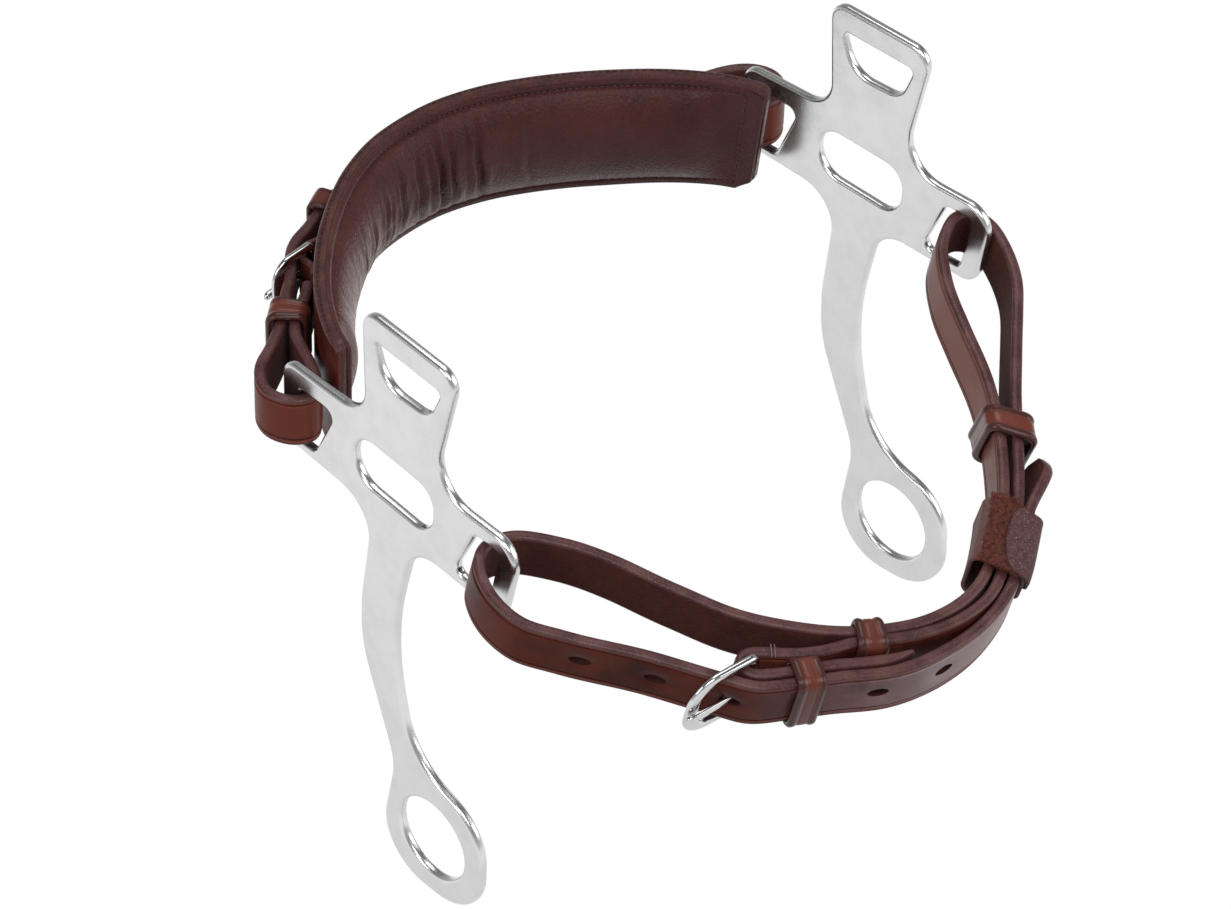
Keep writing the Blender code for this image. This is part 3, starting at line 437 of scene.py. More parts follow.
def polishGroup():
    # What a buffing wheel leaves: a slow unevenness and faint hairlines two ways
    tree, enter, leave = newGroup("buffed metal", [("Vector", "Vector", None)], ["Height", "Haze"])
    slow = noiseNode(tree, enter["Vector"], 45.0, 2.0, 0.4)
    lines = []
    for turn in (0.5, -0.9):
        mapping = addNode(tree, "Mapping", {"Vector": enter["Vector"], "Rotation": (turn, 0.0, 0.0),
                                            "Scale": (1.0, 0.04, 1.0)})
        lines.append(noiseNode(tree, mapping.outputs[0], 2600.0, 1.0, 0.5))
    hair = mathNode(tree, "MULTIPLY", mathNode(tree, "ADD", lines[0], lines[1]), 0.06)
    tree.links.new(mathNode(tree, "ADD", slow, hair), leave["Height"])
    tree.links.new(noiseNode(tree, enter["Vector"], 120.0, 4.0, 0.6), leave["Haze"])
    return tree


groups = {"grain": leatherGrainGroup(), "nap": napGroup(), "wear": wearGroup(),
          "polish": polishGroup()}


def startMaterial(name, **plain):
    # A Principled material with its plain socket values, and its coordinates
    material = bpy.data.materials.new(name)
    material.use_nodes = True
    tree = material.node_tree
    shader = tree.nodes["Principled BSDF"]
    for socket, value in plain.items():
        shader.inputs[socket.replace("_", " ")].default_value = value
    return material, tree, addNode(tree, "TexCoord").outputs


def finishMaterial(material, colour, rough, height, distance, strength):
    # Links the colour, the roughness if it isn't plain, and a bump of height by a distance
    # in millimetres
    tree = material.node_tree
    inputs = tree.nodes["Principled BSDF"].inputs
    tree.links.new(colour, inputs["Base Color"])
    if rough is not None:
        tree.links.new(rough, inputs["Roughness"])
    bump = addNode(tree, "Bump", {"Height": height, "Distance": distance * millimetre,
                                  "Strength": strength})
    tree.links.new(bump.outputs[0], inputs["Normal"])
    return material


def placeGroup(tree, key, vector, **inputs):
    # One of the groups above, fed with coordinates
    node = addNode(tree, "Group")
    node.node_tree = groups[key]
    tree.links.new(vector, node.inputs["Vector"])
    for name, value in inputs.items():
        node.inputs[name].default_value = value
    return node.outputs


bridleLeather = {
    "dark": (0.046, 0.0082, 0.0052), "middle": (0.105, 0.0200, 0.0125),
    "worn": (0.165, 0.045, 0.031), "rim": (0.185, 0.062, 0.050),
    # painted sheen on the strap's far stretch: its colour, and the marks where it starts and where
    # it is full
    "grazingSheen": (0.400, 0.270, 0.275), "grazingSheenFrom": 625.0, "grazingSheenTo": 700.0,
    # stretches made lighter: middle, half length, share, colour. At 322 and 702 mm this is painted
    # sheen; at 52 mm the leather is only made lighter
    "bends": ((52.0, 30.0, 0.8, (0.175, 0.046, 0.031)), (322.0, 62.0, 0.85, (0.255, 0.108, 0.090)),
              (702.0, 30.0, 0.7, (0.42, 0.32, 0.33))),
    "creasePlace": 6.1, "creaseWidth": 0.5, "cells": 1100.0}


def bridleGrainMaterial(name, colours, creases=True):
    # Smooth outside of a strap: u is the distance along it, v that from its middle line
    material, tree, where = startMaterial(name, Coat_Weight=0.06, Coat_Roughness=0.2,
                                          Specular_IOR_Level=0.06)
    uv = addNode(tree, "SeparateXYZ", {0: where["UV"]}).outputs
    grain = placeGroup(tree, "grain", where["Object"], Cells=colours["cells"])
    wear = placeGroup(tree, "wear", where["UV"])
    base = mixColours(tree, rangeNode(tree, grain["Tone"], 0.3, 0.7), colours["dark"],
                      colours["middle"])
    handled = mathNode(tree, "MULTIPLY", wear["Patches"], 0.35)
    base = mixColours(tree, handled, base, colours["worn"])
    if creases:
        # The strap's far stretch gets a painted sheen, broken up by the grain's tone
        grazingSheen = rangeNode(tree, uv["X"], colours["grazingSheenFrom"] * millimetre,
                          colours["grazingSheenTo"] * millimetre)
        cloudy = rangeNode(tree, grain["Tone"], 0.25, 0.7, 0.35, 0.85)
        base = mixColours(tree, mathNode(tree, "MULTIPLY", grazingSheen, cloudy), base, colours["grazingSheen"])
        # and the listed stretches are made lighter: painted sheen at 322 and 702 mm, a plain
        # lighter colour at 52 mm
        for middle, half, share, light in colours["bends"]:
            lightened = bandNode(tree, uv["X"], middle * millimetre, 0.3 * half * millimetre,
                            half * millimetre, share)
            base = mixColours(tree, lightened, base, light)
        away = mathNode(tree, "ABSOLUTE", uv["Y"])
        place = colours["creasePlace"] * millimetre
        width = colours["creaseWidth"] * millimetre
        # The dark line along each crease is painted shade in its groove; a lighter rim runs from it
        # out to the edge
        line = bandNode(tree, away, place, 0.15 * width, width)
        base = mixColours(tree, mathNode(tree, "MULTIPLY", line, 0.85), base, colours["dark"])
        rim = rangeNode(tree, away, place + 0.6 * width, place + 1.2 * width)
        base = mixColours(tree, mathNode(tree, "MULTIPLY", rim, 0.8), base, colours["rim"])
    rough = rangeNode(tree, grain["Tone"], 0.25, 0.75, 0.30, 0.44)
    rough = mathNode(tree, "ADD", rough, mathNode(tree, "MULTIPLY", wear["Streaks"], 0.08))
    return finishMaterial(material, base, rough, grain["Height"], 0.05, 0.55)


def cutEdgeMaterial(name, dark, light):
    # Dyed and rubbed cut edge: a little lumpy, so it catches the light, and light specks are
    # painted on as glints
    material, tree, where = startMaterial(name, Coat_Weight=0.12, Coat_Roughness=0.25,
                                          Specular_IOR_Level=0.25)
    lumps = noiseNode(tree, where["Object"], 900.0, 3.0, 0.65)
    slow = noiseNode(tree, where["Object"], 150.0, 3.0, 0.5)
    base = mixColours(tree, rangeNode(tree, slow, 0.3, 0.7), dark, light)
    # painted glints: small light specks mixed into the colour
    paintedGlints = rangeNode(tree, noiseNode(tree, where["Object"], 2100.0, 2.0, 0.5), 0.60, 0.72)
    base = mixColours(tree, mathNode(tree, "MULTIPLY", paintedGlints, 0.5), base, (0.24, 0.15, 0.145))
    rough = rangeNode(tree, lumps, 0.3, 0.7, 0.30, 0.50)
    height = mathNode(tree, "ADD", lumps, mathNode(tree, "MULTIPLY", slow, 0.8))
    return finishMaterial(material, base, rough, height, 0.22, 0.7)


def fleshMaterial(name, dark, light):
    # Rough inside of a strap
    material, tree, where = startMaterial(name, Sheen_Weight=0.03, Sheen_Roughness=0.45,
                                          Specular_IOR_Level=0.1)
    nap = placeGroup(tree, "nap", where["UV"])
    base = mixColours(tree, rangeNode(tree, nap["Tone"], 0.35, 0.65), dark, light)
    rough = rangeNode(tree, nap["Tone"], 0.3, 0.7, 0.68, 0.92)
    return finishMaterial(material, base, rough, nap["Height"], 0.16, 0.8)


keeperLeather = {"ridge": (0.062, 0.020, 0.017), "middle": (0.135, 0.033, 0.021),
                 "cloud": (0.03, 0.009, 0.007), "half": 2.2}


def keeperMaterial(name, colours):
    # v runs along the strap across the band: red in the middle, dark on the two ridges
    material, tree, where = startMaterial(name, Coat_Weight=0.22, Coat_Roughness=0.14,
                                          Specular_IOR_Level=0.2)
    uv = addNode(tree, "SeparateXYZ", {0: where["UV"]}).outputs
    grain = placeGroup(tree, "grain", where["Object"], Cells=1300.0)
    away = mathNode(tree, "ABSOLUTE", uv["Y"])
    ridge = rangeNode(tree, away, (colours["half"] - 0.35) * millimetre,
                      (colours["half"] + 0.25) * millimetre)
    base = mixColours(tree, ridge, colours["middle"], colours["ridge"])
    cloud = rangeNode(tree, grain["Tone"], 0.35, 0.75, 0.0, 0.35)
    base = mixColours(tree, cloud, base, colours["cloud"])
    rough = rangeNode(tree, grain["Tone"], 0.3, 0.7, 0.26, 0.38)
    return finishMaterial(material, base, rough, grain["Height"], 0.04, 0.5)


padLeather = {"dark": (0.040, 0.0110, 0.0100), "middle": (0.070, 0.0205, 0.0190),
              "worn": (0.120, 0.047, 0.044), "sheen": (1.0, 0.60, 0.58, 1.0)}


def padMaterial(name, colours):
    # Soft grained leather: coarser cells, fine wrinkles across, lighter where it is rubbed
    material, tree, where = startMaterial(name, Specular_IOR_Level=0.16, Sheen_Weight=0.20,
                                          Sheen_Roughness=0.4, Sheen_Tint=colours["sheen"])
    grain = placeGroup(tree, "grain", where["Object"], Cells=1200.0)
    stretched = addNode(tree, "Mapping", {"Vector": where["UV"], "Scale": (1.0, 0.28, 1.0)})
    wrinkles = noiseNode(tree, stretched.outputs[0], 520.0, 4.0, 0.62, 0.9)
    wear = placeGroup(tree, "wear", where["Object"])
    base = mixColours(tree, rangeNode(tree, grain["Tone"], 0.1, 0.8), colours["dark"],
                      colours["middle"])
    handled = mathNode(tree, "MULTIPLY", wear["Patches"], 0.15)
    base = mixColours(tree, handled, base, colours["worn"])
    rough = rangeNode(tree, wrinkles, 0.3, 0.7, 0.20, 0.36)
    height = mathNode(tree, "ADD", grain["Height"], wrinkles)
    return finishMaterial(material, base, rough, height, 0.26, 0.85)


def steelMaterial(name, colour, rough, unevenness):
    # Buffed steel, a little darker and rougher where the haze lies
    material, tree, where = startMaterial(name, Metallic=1.0)
    polish = placeGroup(tree, "polish", where["Object"])
    hazy = tuple(0.93 * part for part in colour)
    base = mixColours(tree, rangeNode(tree, polish["Haze"], 0.35, 0.75), colour, hazy)
    uneven = rangeNode(tree, polish["Haze"], 0.3, 0.8, rough, rough + 0.06)
    return finishMaterial(material, base, uneven, polish["Height"], unevenness, 0.5)


def pileMaterial(name, dark, light):
    # Dull fibres with a blotchy tone
    material, tree, where = startMaterial(name, Sheen_Weight=0.12, Sheen_Roughness=0.5,
                                          Roughness=0.85, Specular_IOR_Level=0.1)
    tone = noiseNode(tree, where["Object"], 900.0, 3.0, 0.7)
    base = mixColours(tree, rangeNode(tree, tone, 0.3, 0.7), dark, light)
    return finishMaterial(material, base, None, tone, 0.3, 0.8)


def tapeMaterial(name, dark, light, glintColour):
    # Woven tape: a fine weave, a soft tone and a few bright specks painted on as glints of its
    # filaments
    material, tree, where = startMaterial(name, Sheen_Weight=0.08, Sheen_Roughness=0.4,
                                          Specular_IOR_Level=0.25)
    warp = addNode(tree, "TexWave", {"Vector": where["UV"], "Scale": 260.0, "Distortion": 1.5},
                   bands_direction="X")
    weft = addNode(tree, "TexWave", {"Vector": where["UV"], "Scale": 300.0, "Distortion": 1.5},
                   bands_direction="Y")
    weave = mathNode(tree, "MULTIPLY", warp.outputs["Fac"], weft.outputs["Fac"])
    tone = noiseNode(tree, where["Object"], 700.0, 4.0, 0.7)
    base = mixColours(tree, rangeNode(tree, tone, 0.35, 0.65), dark, light)
    # painted glints: bright specks mixed into the colour
    glints = rangeNode(tree, noiseNode(tree, where["Object"], 2600.0, 1.0, 0.4), 0.62, 0.72)
    base = mixColours(tree, glints, base, glintColour)
    rough = rangeNode(tree, tone, 0.3, 0.7, 0.55, 0.8)
    return finishMaterial(material, base, rough, mathNode(tree, "ADD", weave, tone), 0.15, 0.6)


def threadMaterial(name, dark, light):
    # Thread with a fine tone along its fibres
    material, tree, where = startMaterial(name, Roughness=0.6, Specular_IOR_Level=0.3)
    tone = noiseNode(tree, where["Object"], 1600.0, 2.0, 0.6)
    return finishMaterial(material, mixColours(tree, tone, dark, light), None, tone, 0.08, 0.7)


leatherOutside = bridleGrainMaterial("bridle leather outside", bridleLeather)
leatherPlain = bridleGrainMaterial("bridle leather plain", bridleLeather, creases=False)
leatherEdge = cutEdgeMaterial("leather cut edge", (0.056, 0.018, 0.017), (0.104, 0.042, 0.040))
leatherInside = fleshMaterial("leather inside", (0.046, 0.0120, 0.0090), (0.100, 0.030, 0.023))
# The hole wall is the inside leather made much darker, as painted shade in the punched holes
holeFinish = fleshMaterial("hole wall", (0.020, 0.0055, 0.0042), (0.055, 0.0150, 0.0115))
keeperFinish = keeperMaterial("keeper leather", keeperLeather)
padFinish = padMaterial("noseband pad leather", padLeather)
leverSteel = steelMaterial("lever steel", (0.72, 0.72, 0.725), 0.24, 0.03)
buckleSteel = steelMaterial("buckle steel", (0.66, 0.66, 0.67), 0.13, 0.02)
pileFinish = pileMaterial("wrap pile", (0.038, 0.0065, 0.0042), (0.135, 0.030, 0.018))
backingFinish = tapeMaterial("wrap backing", (0.095, 0.040, 0.038), (0.150, 0.072, 0.068),
                             (0.26, 0.16, 0.15))
flapFinish = tapeMaterial("hook tape", (0.055, 0.021, 0.022), (0.098, 0.042, 0.045),
                          (0.24, 0.15, 0.15))
fibreFinish = pileMaterial("pile fibre", (0.062, 0.0100, 0.0060), (0.235, 0.064, 0.039))
bandEdge = cutEdgeMaterial("noseband edge", (0.046, 0.0140, 0.0125), (0.080, 0.026, 0.023))
threadFinish = threadMaterial("waxed thread", (0.10, 0.05, 0.045), (0.30, 0.19, 0.17))
padThread = threadMaterial("pad thread", (0.060, 0.026, 0.024), (0.150, 0.085, 0.080))
# near-black thread: the shade of the edge stitch holes is painted into it
threadWithHoleShade = threadMaterial("dark thread with painted hole shade", (0.018, 0.006, 0.005), (0.05, 0.02, 0.017))
print("materials made")


# Levers

lever = {
    "thickness": 3.0, "edgeRound": 1.15, "ringHole": 13.0, "pivot": (-56.9, 119.5),
    "rearBar": (26.7, 114.5), "halfSpan": 91.8, "pivotY": 41.2, "leftYaw": 3.5, "rightPitch": 2.6,
    "outline": [
        (-28.2, 172.8, 5.5), (8.8, 170.8, 6.0), (-1.2, 129.0, 11.0), (32.9, 128.2, 8.0),
        (27.2, 101.2, 6.0), (-8.1, 102.9, 11.0), (-17.3, 64.0, 95.0), (-8.9, 24.8, 24.0),
        (20.1, 16.1, 17.0), (20.1, -20.4, 20.0), (-22.9, -20.4, 19.0), (-15.8, 18.2, 21.0),
        (-29.4, 54.8, 70.0), (-29.3, 71.0, 55.0), (-24.5, 105.6, 12.0), (-60.2, 108.3, 5.0),
        (-60.2, 135.8, 5.0), (-27.1, 135.8, 9.0)],
    "slots": [
        [(-23.6, 164.3, 1.5), (2.4, 162.9, 1.5), (-2.0, 151.9, 6.5), (-19.5, 151.9, 9.0)],
        [(-31.2, 129.0, 8.0), (-0.2, 126.8, 6.5), (-0.9, 111.0, 7.0), (-31.3, 113.2, 8.0)],
        [(-39.4, 128.9, 2.5), (-47.5, 110.8, 2.0), (-53.5, 110.9, 1.5), (-53.5, 129.0, 1.5)],
        [(15.8, 123.3, 2.5), (7.5, 105.4, 2.5), (21.5, 105.4, 1.5), (25.0, 123.1, 1.5)]]}


def leverTurn(side):
    # The rest position of a lever: moved to its front bar, and turned about it
    if side > 0:
        turn = Matrix.Rotation(math.radians(-lever["leftYaw"]), 3, "Z")
    else:
        turn = Matrix.Rotation(math.radians(lever["rightPitch"]), 3, "X")
    return np.array(turn), np.array([side * lever["halfSpan"], lever["pivotY"], 0.0])


def fillOutlines(points, outlines):
    # Triangles that fill the flat area between outlines, all turned to +X. They number the
    # outlines' points one after another
    fill = bmesh.new()
    verts = [fill.verts.new(points[index]) for index in np.concatenate(outlines)]
    place = 0
    for outline in outlines:
        size = len(outline)
        for step in range(size):
            fill.edges.new((verts[place + step], verts[place + (step + 1) % size]))
        place += size
    fill.verts.index_update()
    bmesh.ops.triangle_fill(fill, use_beauty=True, use_dissolve=False, edges=list(fill.edges))
    triangles = np.array([[vert.index for vert in face.verts] for face in fill.faces])
    normals = np.array([face.normal[0] for face in fill.faces])
    fill.free()
    triangles[normals < 0] = triangles[normals < 0][:, ::-1]
    return triangles


def buildLever(name, side, body, node):
    # Each outline is carried round its edge: flat face, quarter round, straight wall, quarter
    # round and flat face again, as (inset, height); the flat faces are filled between loops
    half = 0.5 * lever["thickness"]
    r = lever["edgeRound"]
    quarter = np.linspace(0, 0.5 * np.pi, 7)
    inset = np.concatenate([[r + 0.3, r + 0.1], r * (1 - np.sin(quarter))])
    height = np.concatenate([[half, half], half - r * (1 - np.cos(quarter))])
    inset = np.concatenate([inset, inset[::-1]])
    height = np.concatenate([height, -height[::-1]])
    ring = [(lever["ringHole"] * x, lever["ringHole"] * y, lever["ringHole"])
            for x, y in ((-1, -1), (-1, 1), (1, 1), (1, -1))]
    grids = []
    for index, loop in enumerate([lever["outline"][::-1], ring] + lever["slots"]):
        # The outline has to turn left and each opening right, as the sign of its area tells
        area = sum(a[0] * b[1] - b[0] * a[1] for a, b in zip(loop, loop[1:] + loop[:1]))
        wanted = 1.0 if index == 0 else -1.0
        loop = loop if area * wanted > 0 else loop[::-1]
        flat = np.stack([filletLoop(loop, 24 if index == 1 else 12, step) for step in inset])
        grid = np.zeros(flat.shape[:2] + (3,))
        grid[..., 0] = height[:, None]
        grid[..., 1] = flat[..., 0] - lever["pivot"][0]
        grid[..., 2] = flat[..., 1] - lever["pivot"][1]
        grids.append(grid)
    points = np.concatenate([grid.reshape(-1, 3) for grid in grids])
    starts = np.cumsum([0] + [grid.shape[0] * grid.shape[1] for grid in grids])
    quads = []
    topRims = []
    bottomRims = []
    for start, grid in zip(starts, grids):
        rows, columns = grid.shape[:2]
        row = np.arange(rows - 1)[:, None]
        column = np.arange(columns)[None, :]
        beside = (column + 1) % columns
        wall = np.stack([(row + 1) * columns + column, (row + 1) * columns + beside,
                         row * columns + beside, row * columns + column], -1)
        quads.append(start + wall.reshape(-1, 4))
        topRims.append(start + np.arange(columns))
        bottomRims.append(start + (rows - 1) * columns + np.arange(columns))
    triangles = fillOutlines(points, topRims)
    top = np.concatenate(topRims)[triangles]
    bottom = np.concatenate(bottomRims)[triangles][:, ::-1]
    turn, origin = leverTurn(side)
    points = points @ turn.T + origin
    faces = np.concatenate(quads).tolist() + top.tolist() + bottom.tolist()
    mesh = bpy.data.meshes.new(name)
    mesh.from_pydata((points * millimetre).tolist(), [], faces)
    mesh.materials.append(leverSteel)
    mesh.shade_smooth()
    tidy = bmesh.new()
    tidy.from_mesh(mesh)
    bmesh.ops.recalc_face_normals(tidy, faces=list(tidy.faces))
    tidy.to_mesh(mesh)
    tidy.free()
    item = bpy.data.objects.new(name, mesh)
    bpy.context.collection.objects.link(item)
    return dress(item, body, "polished_steel", node)


def rearBar(side):
    # Where the middle of a lever's rear bar is, in the frame
    turn, origin = leverTurn(side)
    return turn @ np.append(0.0, np.subtract(lever["rearBar"], lever["pivot"])) + origin


buildLever("leftLever", 1.0, "left_lever", "left_cheek")
buildLever("rightLever", -1.0, "right_lever", "right_cheek")
print("levers made")


# Straps

strap = {"width": 16.0, "thickness": 3.2, "edge": 1.0, "creasePlace": 5.95, "creaseDepth": 0.42,
         "creaseWidth": 0.36, "holeLength": 6.0, "holeHeight": 3.0, "holePitch": 20.0,
         "dimple": 0.5, "fineStep": 1.1}


def strapProfile(halfWidth, halfThick, creaseDepth):
    # Round a strap's section from the middle of its outside: (rise, width) with the cut edges
    # as quarter arcs and the creases as two bell-shaped grooves; returns also the way round and
    # which of outside 0, edge 1 and inside 2 each stretch is
    edge = min(strap["edge"], 0.75 * halfThick)
    flat = halfWidth - edge
    crease = strap["creasePlace"]
    side = np.concatenate([np.linspace(0.0, crease - 1.0, 8)[:-1],
                           np.linspace(crease - 1.0, flat, 11)])
    face = np.concatenate([-side[:0:-1], side])
    groove = bell(np.abs(face), crease, strap["creaseWidth"])
    bulge = 0.28 * smoothStep(np.abs(face), crease, halfWidth)
    top = np.stack([halfThick - creaseDepth * groove - bulge * (creaseDepth > 0), face], 1)
    angle = np.linspace(0, np.pi, 13)[1:-1]
    arc = np.stack([halfThick * np.cos(angle), flat + edge * np.sin(angle) ** 0.8], 1)
    inner = np.stack([np.full(9, -halfThick), np.linspace(flat, -flat, 9)], 1)
    other = arc[::-1] * np.array([1.0, -1.0])
    points = np.concatenate([top, arc, inner, other])
    kinds = np.repeat([0, 1, 2, 1], [len(top) - 1, len(arc) + 1, len(inner) - 1, len(other) + 1])
    around = runLengths(np.vstack([points, points[:1]]))
    around = around - np.interp(0.0, face, around[:len(face)])
    return points, around, kinds


def strapMarks(low, high, fineSpots=(), step=None):
    # Even steps, closer near the ends and round each hole
    step = strap["fineStep"] if step is None else step
    marks = [np.arange(low, high, step), [high]]
    marks.append(low + np.array([0.15, 0.35, 0.6]))
    marks.append(high - np.array([0.15, 0.35, 0.6]))
    for spot in fineSpots:
        marks.append(np.clip(spot + np.arange(-5.0, 5.01, 0.5), low, high))
    marks = np.unique(np.round(np.concatenate(marks), 2))
    return marks[np.append(True, np.diff(marks) > 0.08)]


def strapGrid(path, marks, profile, grainSide, tipAt, tipLength, holes, skive, twist):
    # Each ring is the section at its mark. A skived start is pared thin, towards a tip the width
    # falls with the root of 1 - nearness^2, at the ends the section closes in, and round a hole
    # it dips by exp(-a^1.6)
    rise = np.broadcast_to(profile[:, 0], (len(marks), len(profile))).copy()
    width = np.broadcast_to(profile[:, 1], rise.shape).copy()
    ends = np.minimum(marks - marks[0], marks[-1] - marks)
    close = closeness(ends, 0.9)[:, None] ** 2
    rise *= 1 - 0.35 * close
    width *= 1 - 0.05 * close
    if tipAt is not None:
        nearness = closeness(tipAt - marks, tipLength)
        width *= np.sqrt(np.maximum(0.02, 1 - nearness ** 2.0))[:, None]
    for spot in holes:
        away = ((marks[:, None] - spot) / 4.1) ** 2 + (width / 2.5) ** 2
        rise -= strap["dimple"] * np.exp(-away ** 1.6) * (rise > 0.6 * rise.max())
    if skive:
        rise *= (1 - 0.62 * closeness(marks - marks[0], skive) ** 1.3)[:, None]
    wander = 0.06 * np.sin(marks / 9.3) + 0.05 * np.sin(marks / 4.1 + 1.3)
    rise += (wander[:, None] * (np.abs(width) > 0.8 * width.max()))
    # A twist in degrees turns the section about the path, its top towards "out"
    spots, degrees = np.array(twist).T
    turn = np.radians(np.interp(marks, spots, degrees))[:, None]
    out = grainSide * rise
    return path.place(marks[:, None], out * np.cos(turn) + width * np.sin(turn),
                      width * np.cos(turn) - out * np.sin(turn))


def ovalPeg(path, mark, length, height):
    # A peg through a strap: an ellipse carried along the strap's thickness. Its faces are of
    # slot 3, which is the hole's wall in a strap
    depth = 2.4
    turn = np.linspace(0, 2 * np.pi, 28, endpoint=False)
    along = 0.5 * length * np.cos(turn)
    out = np.array([-depth, depth])[:, None]
    flat = (path.flat(mark) + out[..., None] * path.out(mark)
            + along[None, :, None] * path.along(mark))
    grid = path.lift(flat, np.broadcast_to(0.5 * height * np.sin(turn), flat.shape[:2]))
    return writeMesh("peg", grid, [holeFinish] * 4, columnSlots=np.full(28, 3), capSlot=3)


def prismPeg(path, outline, halfWidth):
    # A peg across a strap: an outline in the path's plane, carried to both sides of it. Its
    # faces are of slot 1, which is a strap's cut edge
    outline = np.asarray(outline)
    flat = np.broadcast_to(outline, (2,) + outline.shape)
    grid = path.lift(flat, np.broadcast_to(np.array([[-halfWidth], [halfWidth]]), flat.shape[:2]))
    return writeMesh("peg", grid, [leatherEdge, leatherEdge],
                     columnSlots=np.full(len(outline), 1), capSlot=1)


def makeStrap(name, path, grainSide, thickness, tipAt=None, tipLength=11.0, holes=(),
              holeLengths=None, creaseDepth=None, skive=0.0, twist=((0.0, 0.0),)):
    # A strap along the whole path with its outside towards grainSide, and a peg cut out for
    # each hole
    depth = strap["creaseDepth"] if creaseDepth is None else creaseDepth
    profile, around, kinds = strapProfile(0.5 * strap["width"], 0.5 * thickness, depth)
    marks = strapMarks(0.0, path.length, holes)
    grid = strapGrid(path, marks, profile, grainSide, tipAt, tipLength, holes, skive, twist)
    item = writeMesh(name, grid, [leatherOutside, leatherEdge, leatherInside, holeFinish],
                     along=marks, around=around, columnSlots=kinds, capSlot=1)
    if len(holes):
        lengths = [strap["holeLength"]] * len(holes) if holeLengths is None else holeLengths
        cutHoles(item, [ovalPeg(path, spot, length, strap["holeHeight"])
                        for spot, length in zip(holes, lengths)])
    return item


# Keepers: bands carried round a strap

keeper = {"length": 8.0, "thickness": 1.4, "play": 0.4, "corner": 2.4, "ridge": 0.30,
          "ridgePlace": 1.3, "groove": 0.12}


def keeperRoom():
    # From a strap's middle to a keeper's: half of both thicknesses and the play, and the same
    # across its width
    room = keeper["play"] + 0.5 * keeper["thickness"]
    return 0.5 * strap["thickness"] + room, 0.5 * strap["width"] + room


def keeperLoop(low, high, half, radius=keeper["corner"]):
    # A rectangle with round corners
    return filletLoop([(low, -half, radius), (high, -half, radius), (high, half, radius),
                       (low, half, radius)], 9)


def bandProfile(length, thickness, ridge=keeper["ridge"], groove=keeper["groove"]):
    # Across a band: (shift along the strap, rise). The outside carries a bell-shaped ridge
    # near each edge with a small groove inside it, and the edges are half rounds
    half = 0.5 * length
    edge = 0.42 * thickness
    shift = np.linspace(-half + edge, half - edge, 33)
    away = half - np.abs(shift)
    rise = 0.5 * thickness + ridge * bell(away, keeper["ridgePlace"], 0.85)
    rise -= groove * bell(away, keeper["ridgePlace"] + 1.35, 0.3)
    top = np.stack([shift, rise], 1)
    angle = np.linspace(0, np.pi, 9)[1:-1]
    right = np.stack([half - edge + edge * np.sin(angle), 0.5 * thickness * np.cos(angle)], 1)
    inner = np.stack([np.linspace(half - edge, -half + edge, 7), np.full(7, -0.5 * thickness)], 1)
    left = right[::-1] * np.array([-1.0, 1.0])
    points = np.concatenate([top, right, inner, left])
    around = np.append(points[:, 0], points[0, 0])
    return points, around


def bandFlat(mark, loop, profile, skew, closed=True, ends=None, closeEnds=0.0):
    # Marks, out and width of a band's points: the profile stands along the loop's normals, the
    # skew leans it along the strap, ends narrows it and closed ends are pared by 40 percent
    normals, stretch = loopNormals(loop, closed and ends is None)
    lean = skew[0] * loop[:, 1] + skew[1] * loop[:, 0]
    ends = np.ones(len(loop)) if ends is None else ends
    shift = profile[None, :, 0] * ends[:, None]
    rise = profile[None, :, 1] * stretch[:, None]
    if closeEnds:
        way = runLengths(loop)
        near = closeness(np.minimum(way, way[-1] - way), closeEnds)
        rise = rise * (1 - 0.4 * near[:, None] ** 2)
    out = loop[:, 0, None] + rise * normals[:, None, 0]
    width = loop[:, 1, None] + rise * normals[:, None, 1]
    return mark + lean[:, None] + shift, out, width


def makeKeeper(name, path, mark, loop, body, node, length=keeper["length"],
               thickness=keeper["thickness"], skew=(0.0, 0.0), closed=True):
    # A ridged leather band round a path at a mark
    profile, around = bandProfile(length, thickness)
    flat = bandFlat(mark, loop, profile, skew, closed=closed, closeEnds=0.0 if closed else 0.8)
    item = writeMesh(name, path.place(*flat), [keeperFinish], along=runLengths(loop), around=around,
                     closedPath=closed)
    return dress(item, body, "keeper_leather", node)


# Stitches: short bowed capsules

stitches = {"pad": {"pitch": 1.9, "length": 1.25, "radius": 0.17, "bow": 0.10},
            "edge": {"pitch": 2.1, "length": 1.3, "radius": 0.24, "bow": 0.05},
            "fold": {"spots": (-0.45, 0.5), "length": 1.15, "radius": 0.14, "bow": 0.05}}


def makeStitches(name, kind, centres, directions, normals, body, material, slot):
    # s runs from -1 to 1 along each stitch: it rises by bow (1 - s^2) and its radius falls as
    # the root of 1 - s^4; six points go round it
    length, bow = stitches[kind]["length"], stitches[kind]["bow"]
    s = np.array([-1.0, -0.75, -0.35, 0.0, 0.35, 0.75, 1.0])
    size = stitches[kind]["radius"] * np.sqrt(np.maximum(1 - s ** 4, 0.06))
    turn = np.linspace(0, 2 * np.pi, 6, endpoint=False)
    directions = unit(directions)
    sides = unit(np.cross(directions, normals))
    normals = np.cross(sides, directions)
    centre = (centres[:, None, :] + 0.5 * length * s[None, :, None] * directions[:, None, :]
              + bow * (1 - s ** 2)[None, :, None] * normals[:, None, :])
    ring = (np.cos(turn)[None, None, :, None] * normals[:, None, None, :]
            + np.sin(turn)[None, None, :, None] * sides[:, None, None, :])
    grids = centre[:, :, None, :] + size[None, :, None, None] * ring
    item = writeMesh(name, grids, [material])
    return dress(item, body, slot)


# Buckles

buckle = {"halfWidth": 9.95, "bar": 1.2, "prongWidth": 2.5, "prongThick": 1.2, "slot": 3.0,
          "curbLength": 20.2, "noseLength": 14.6}


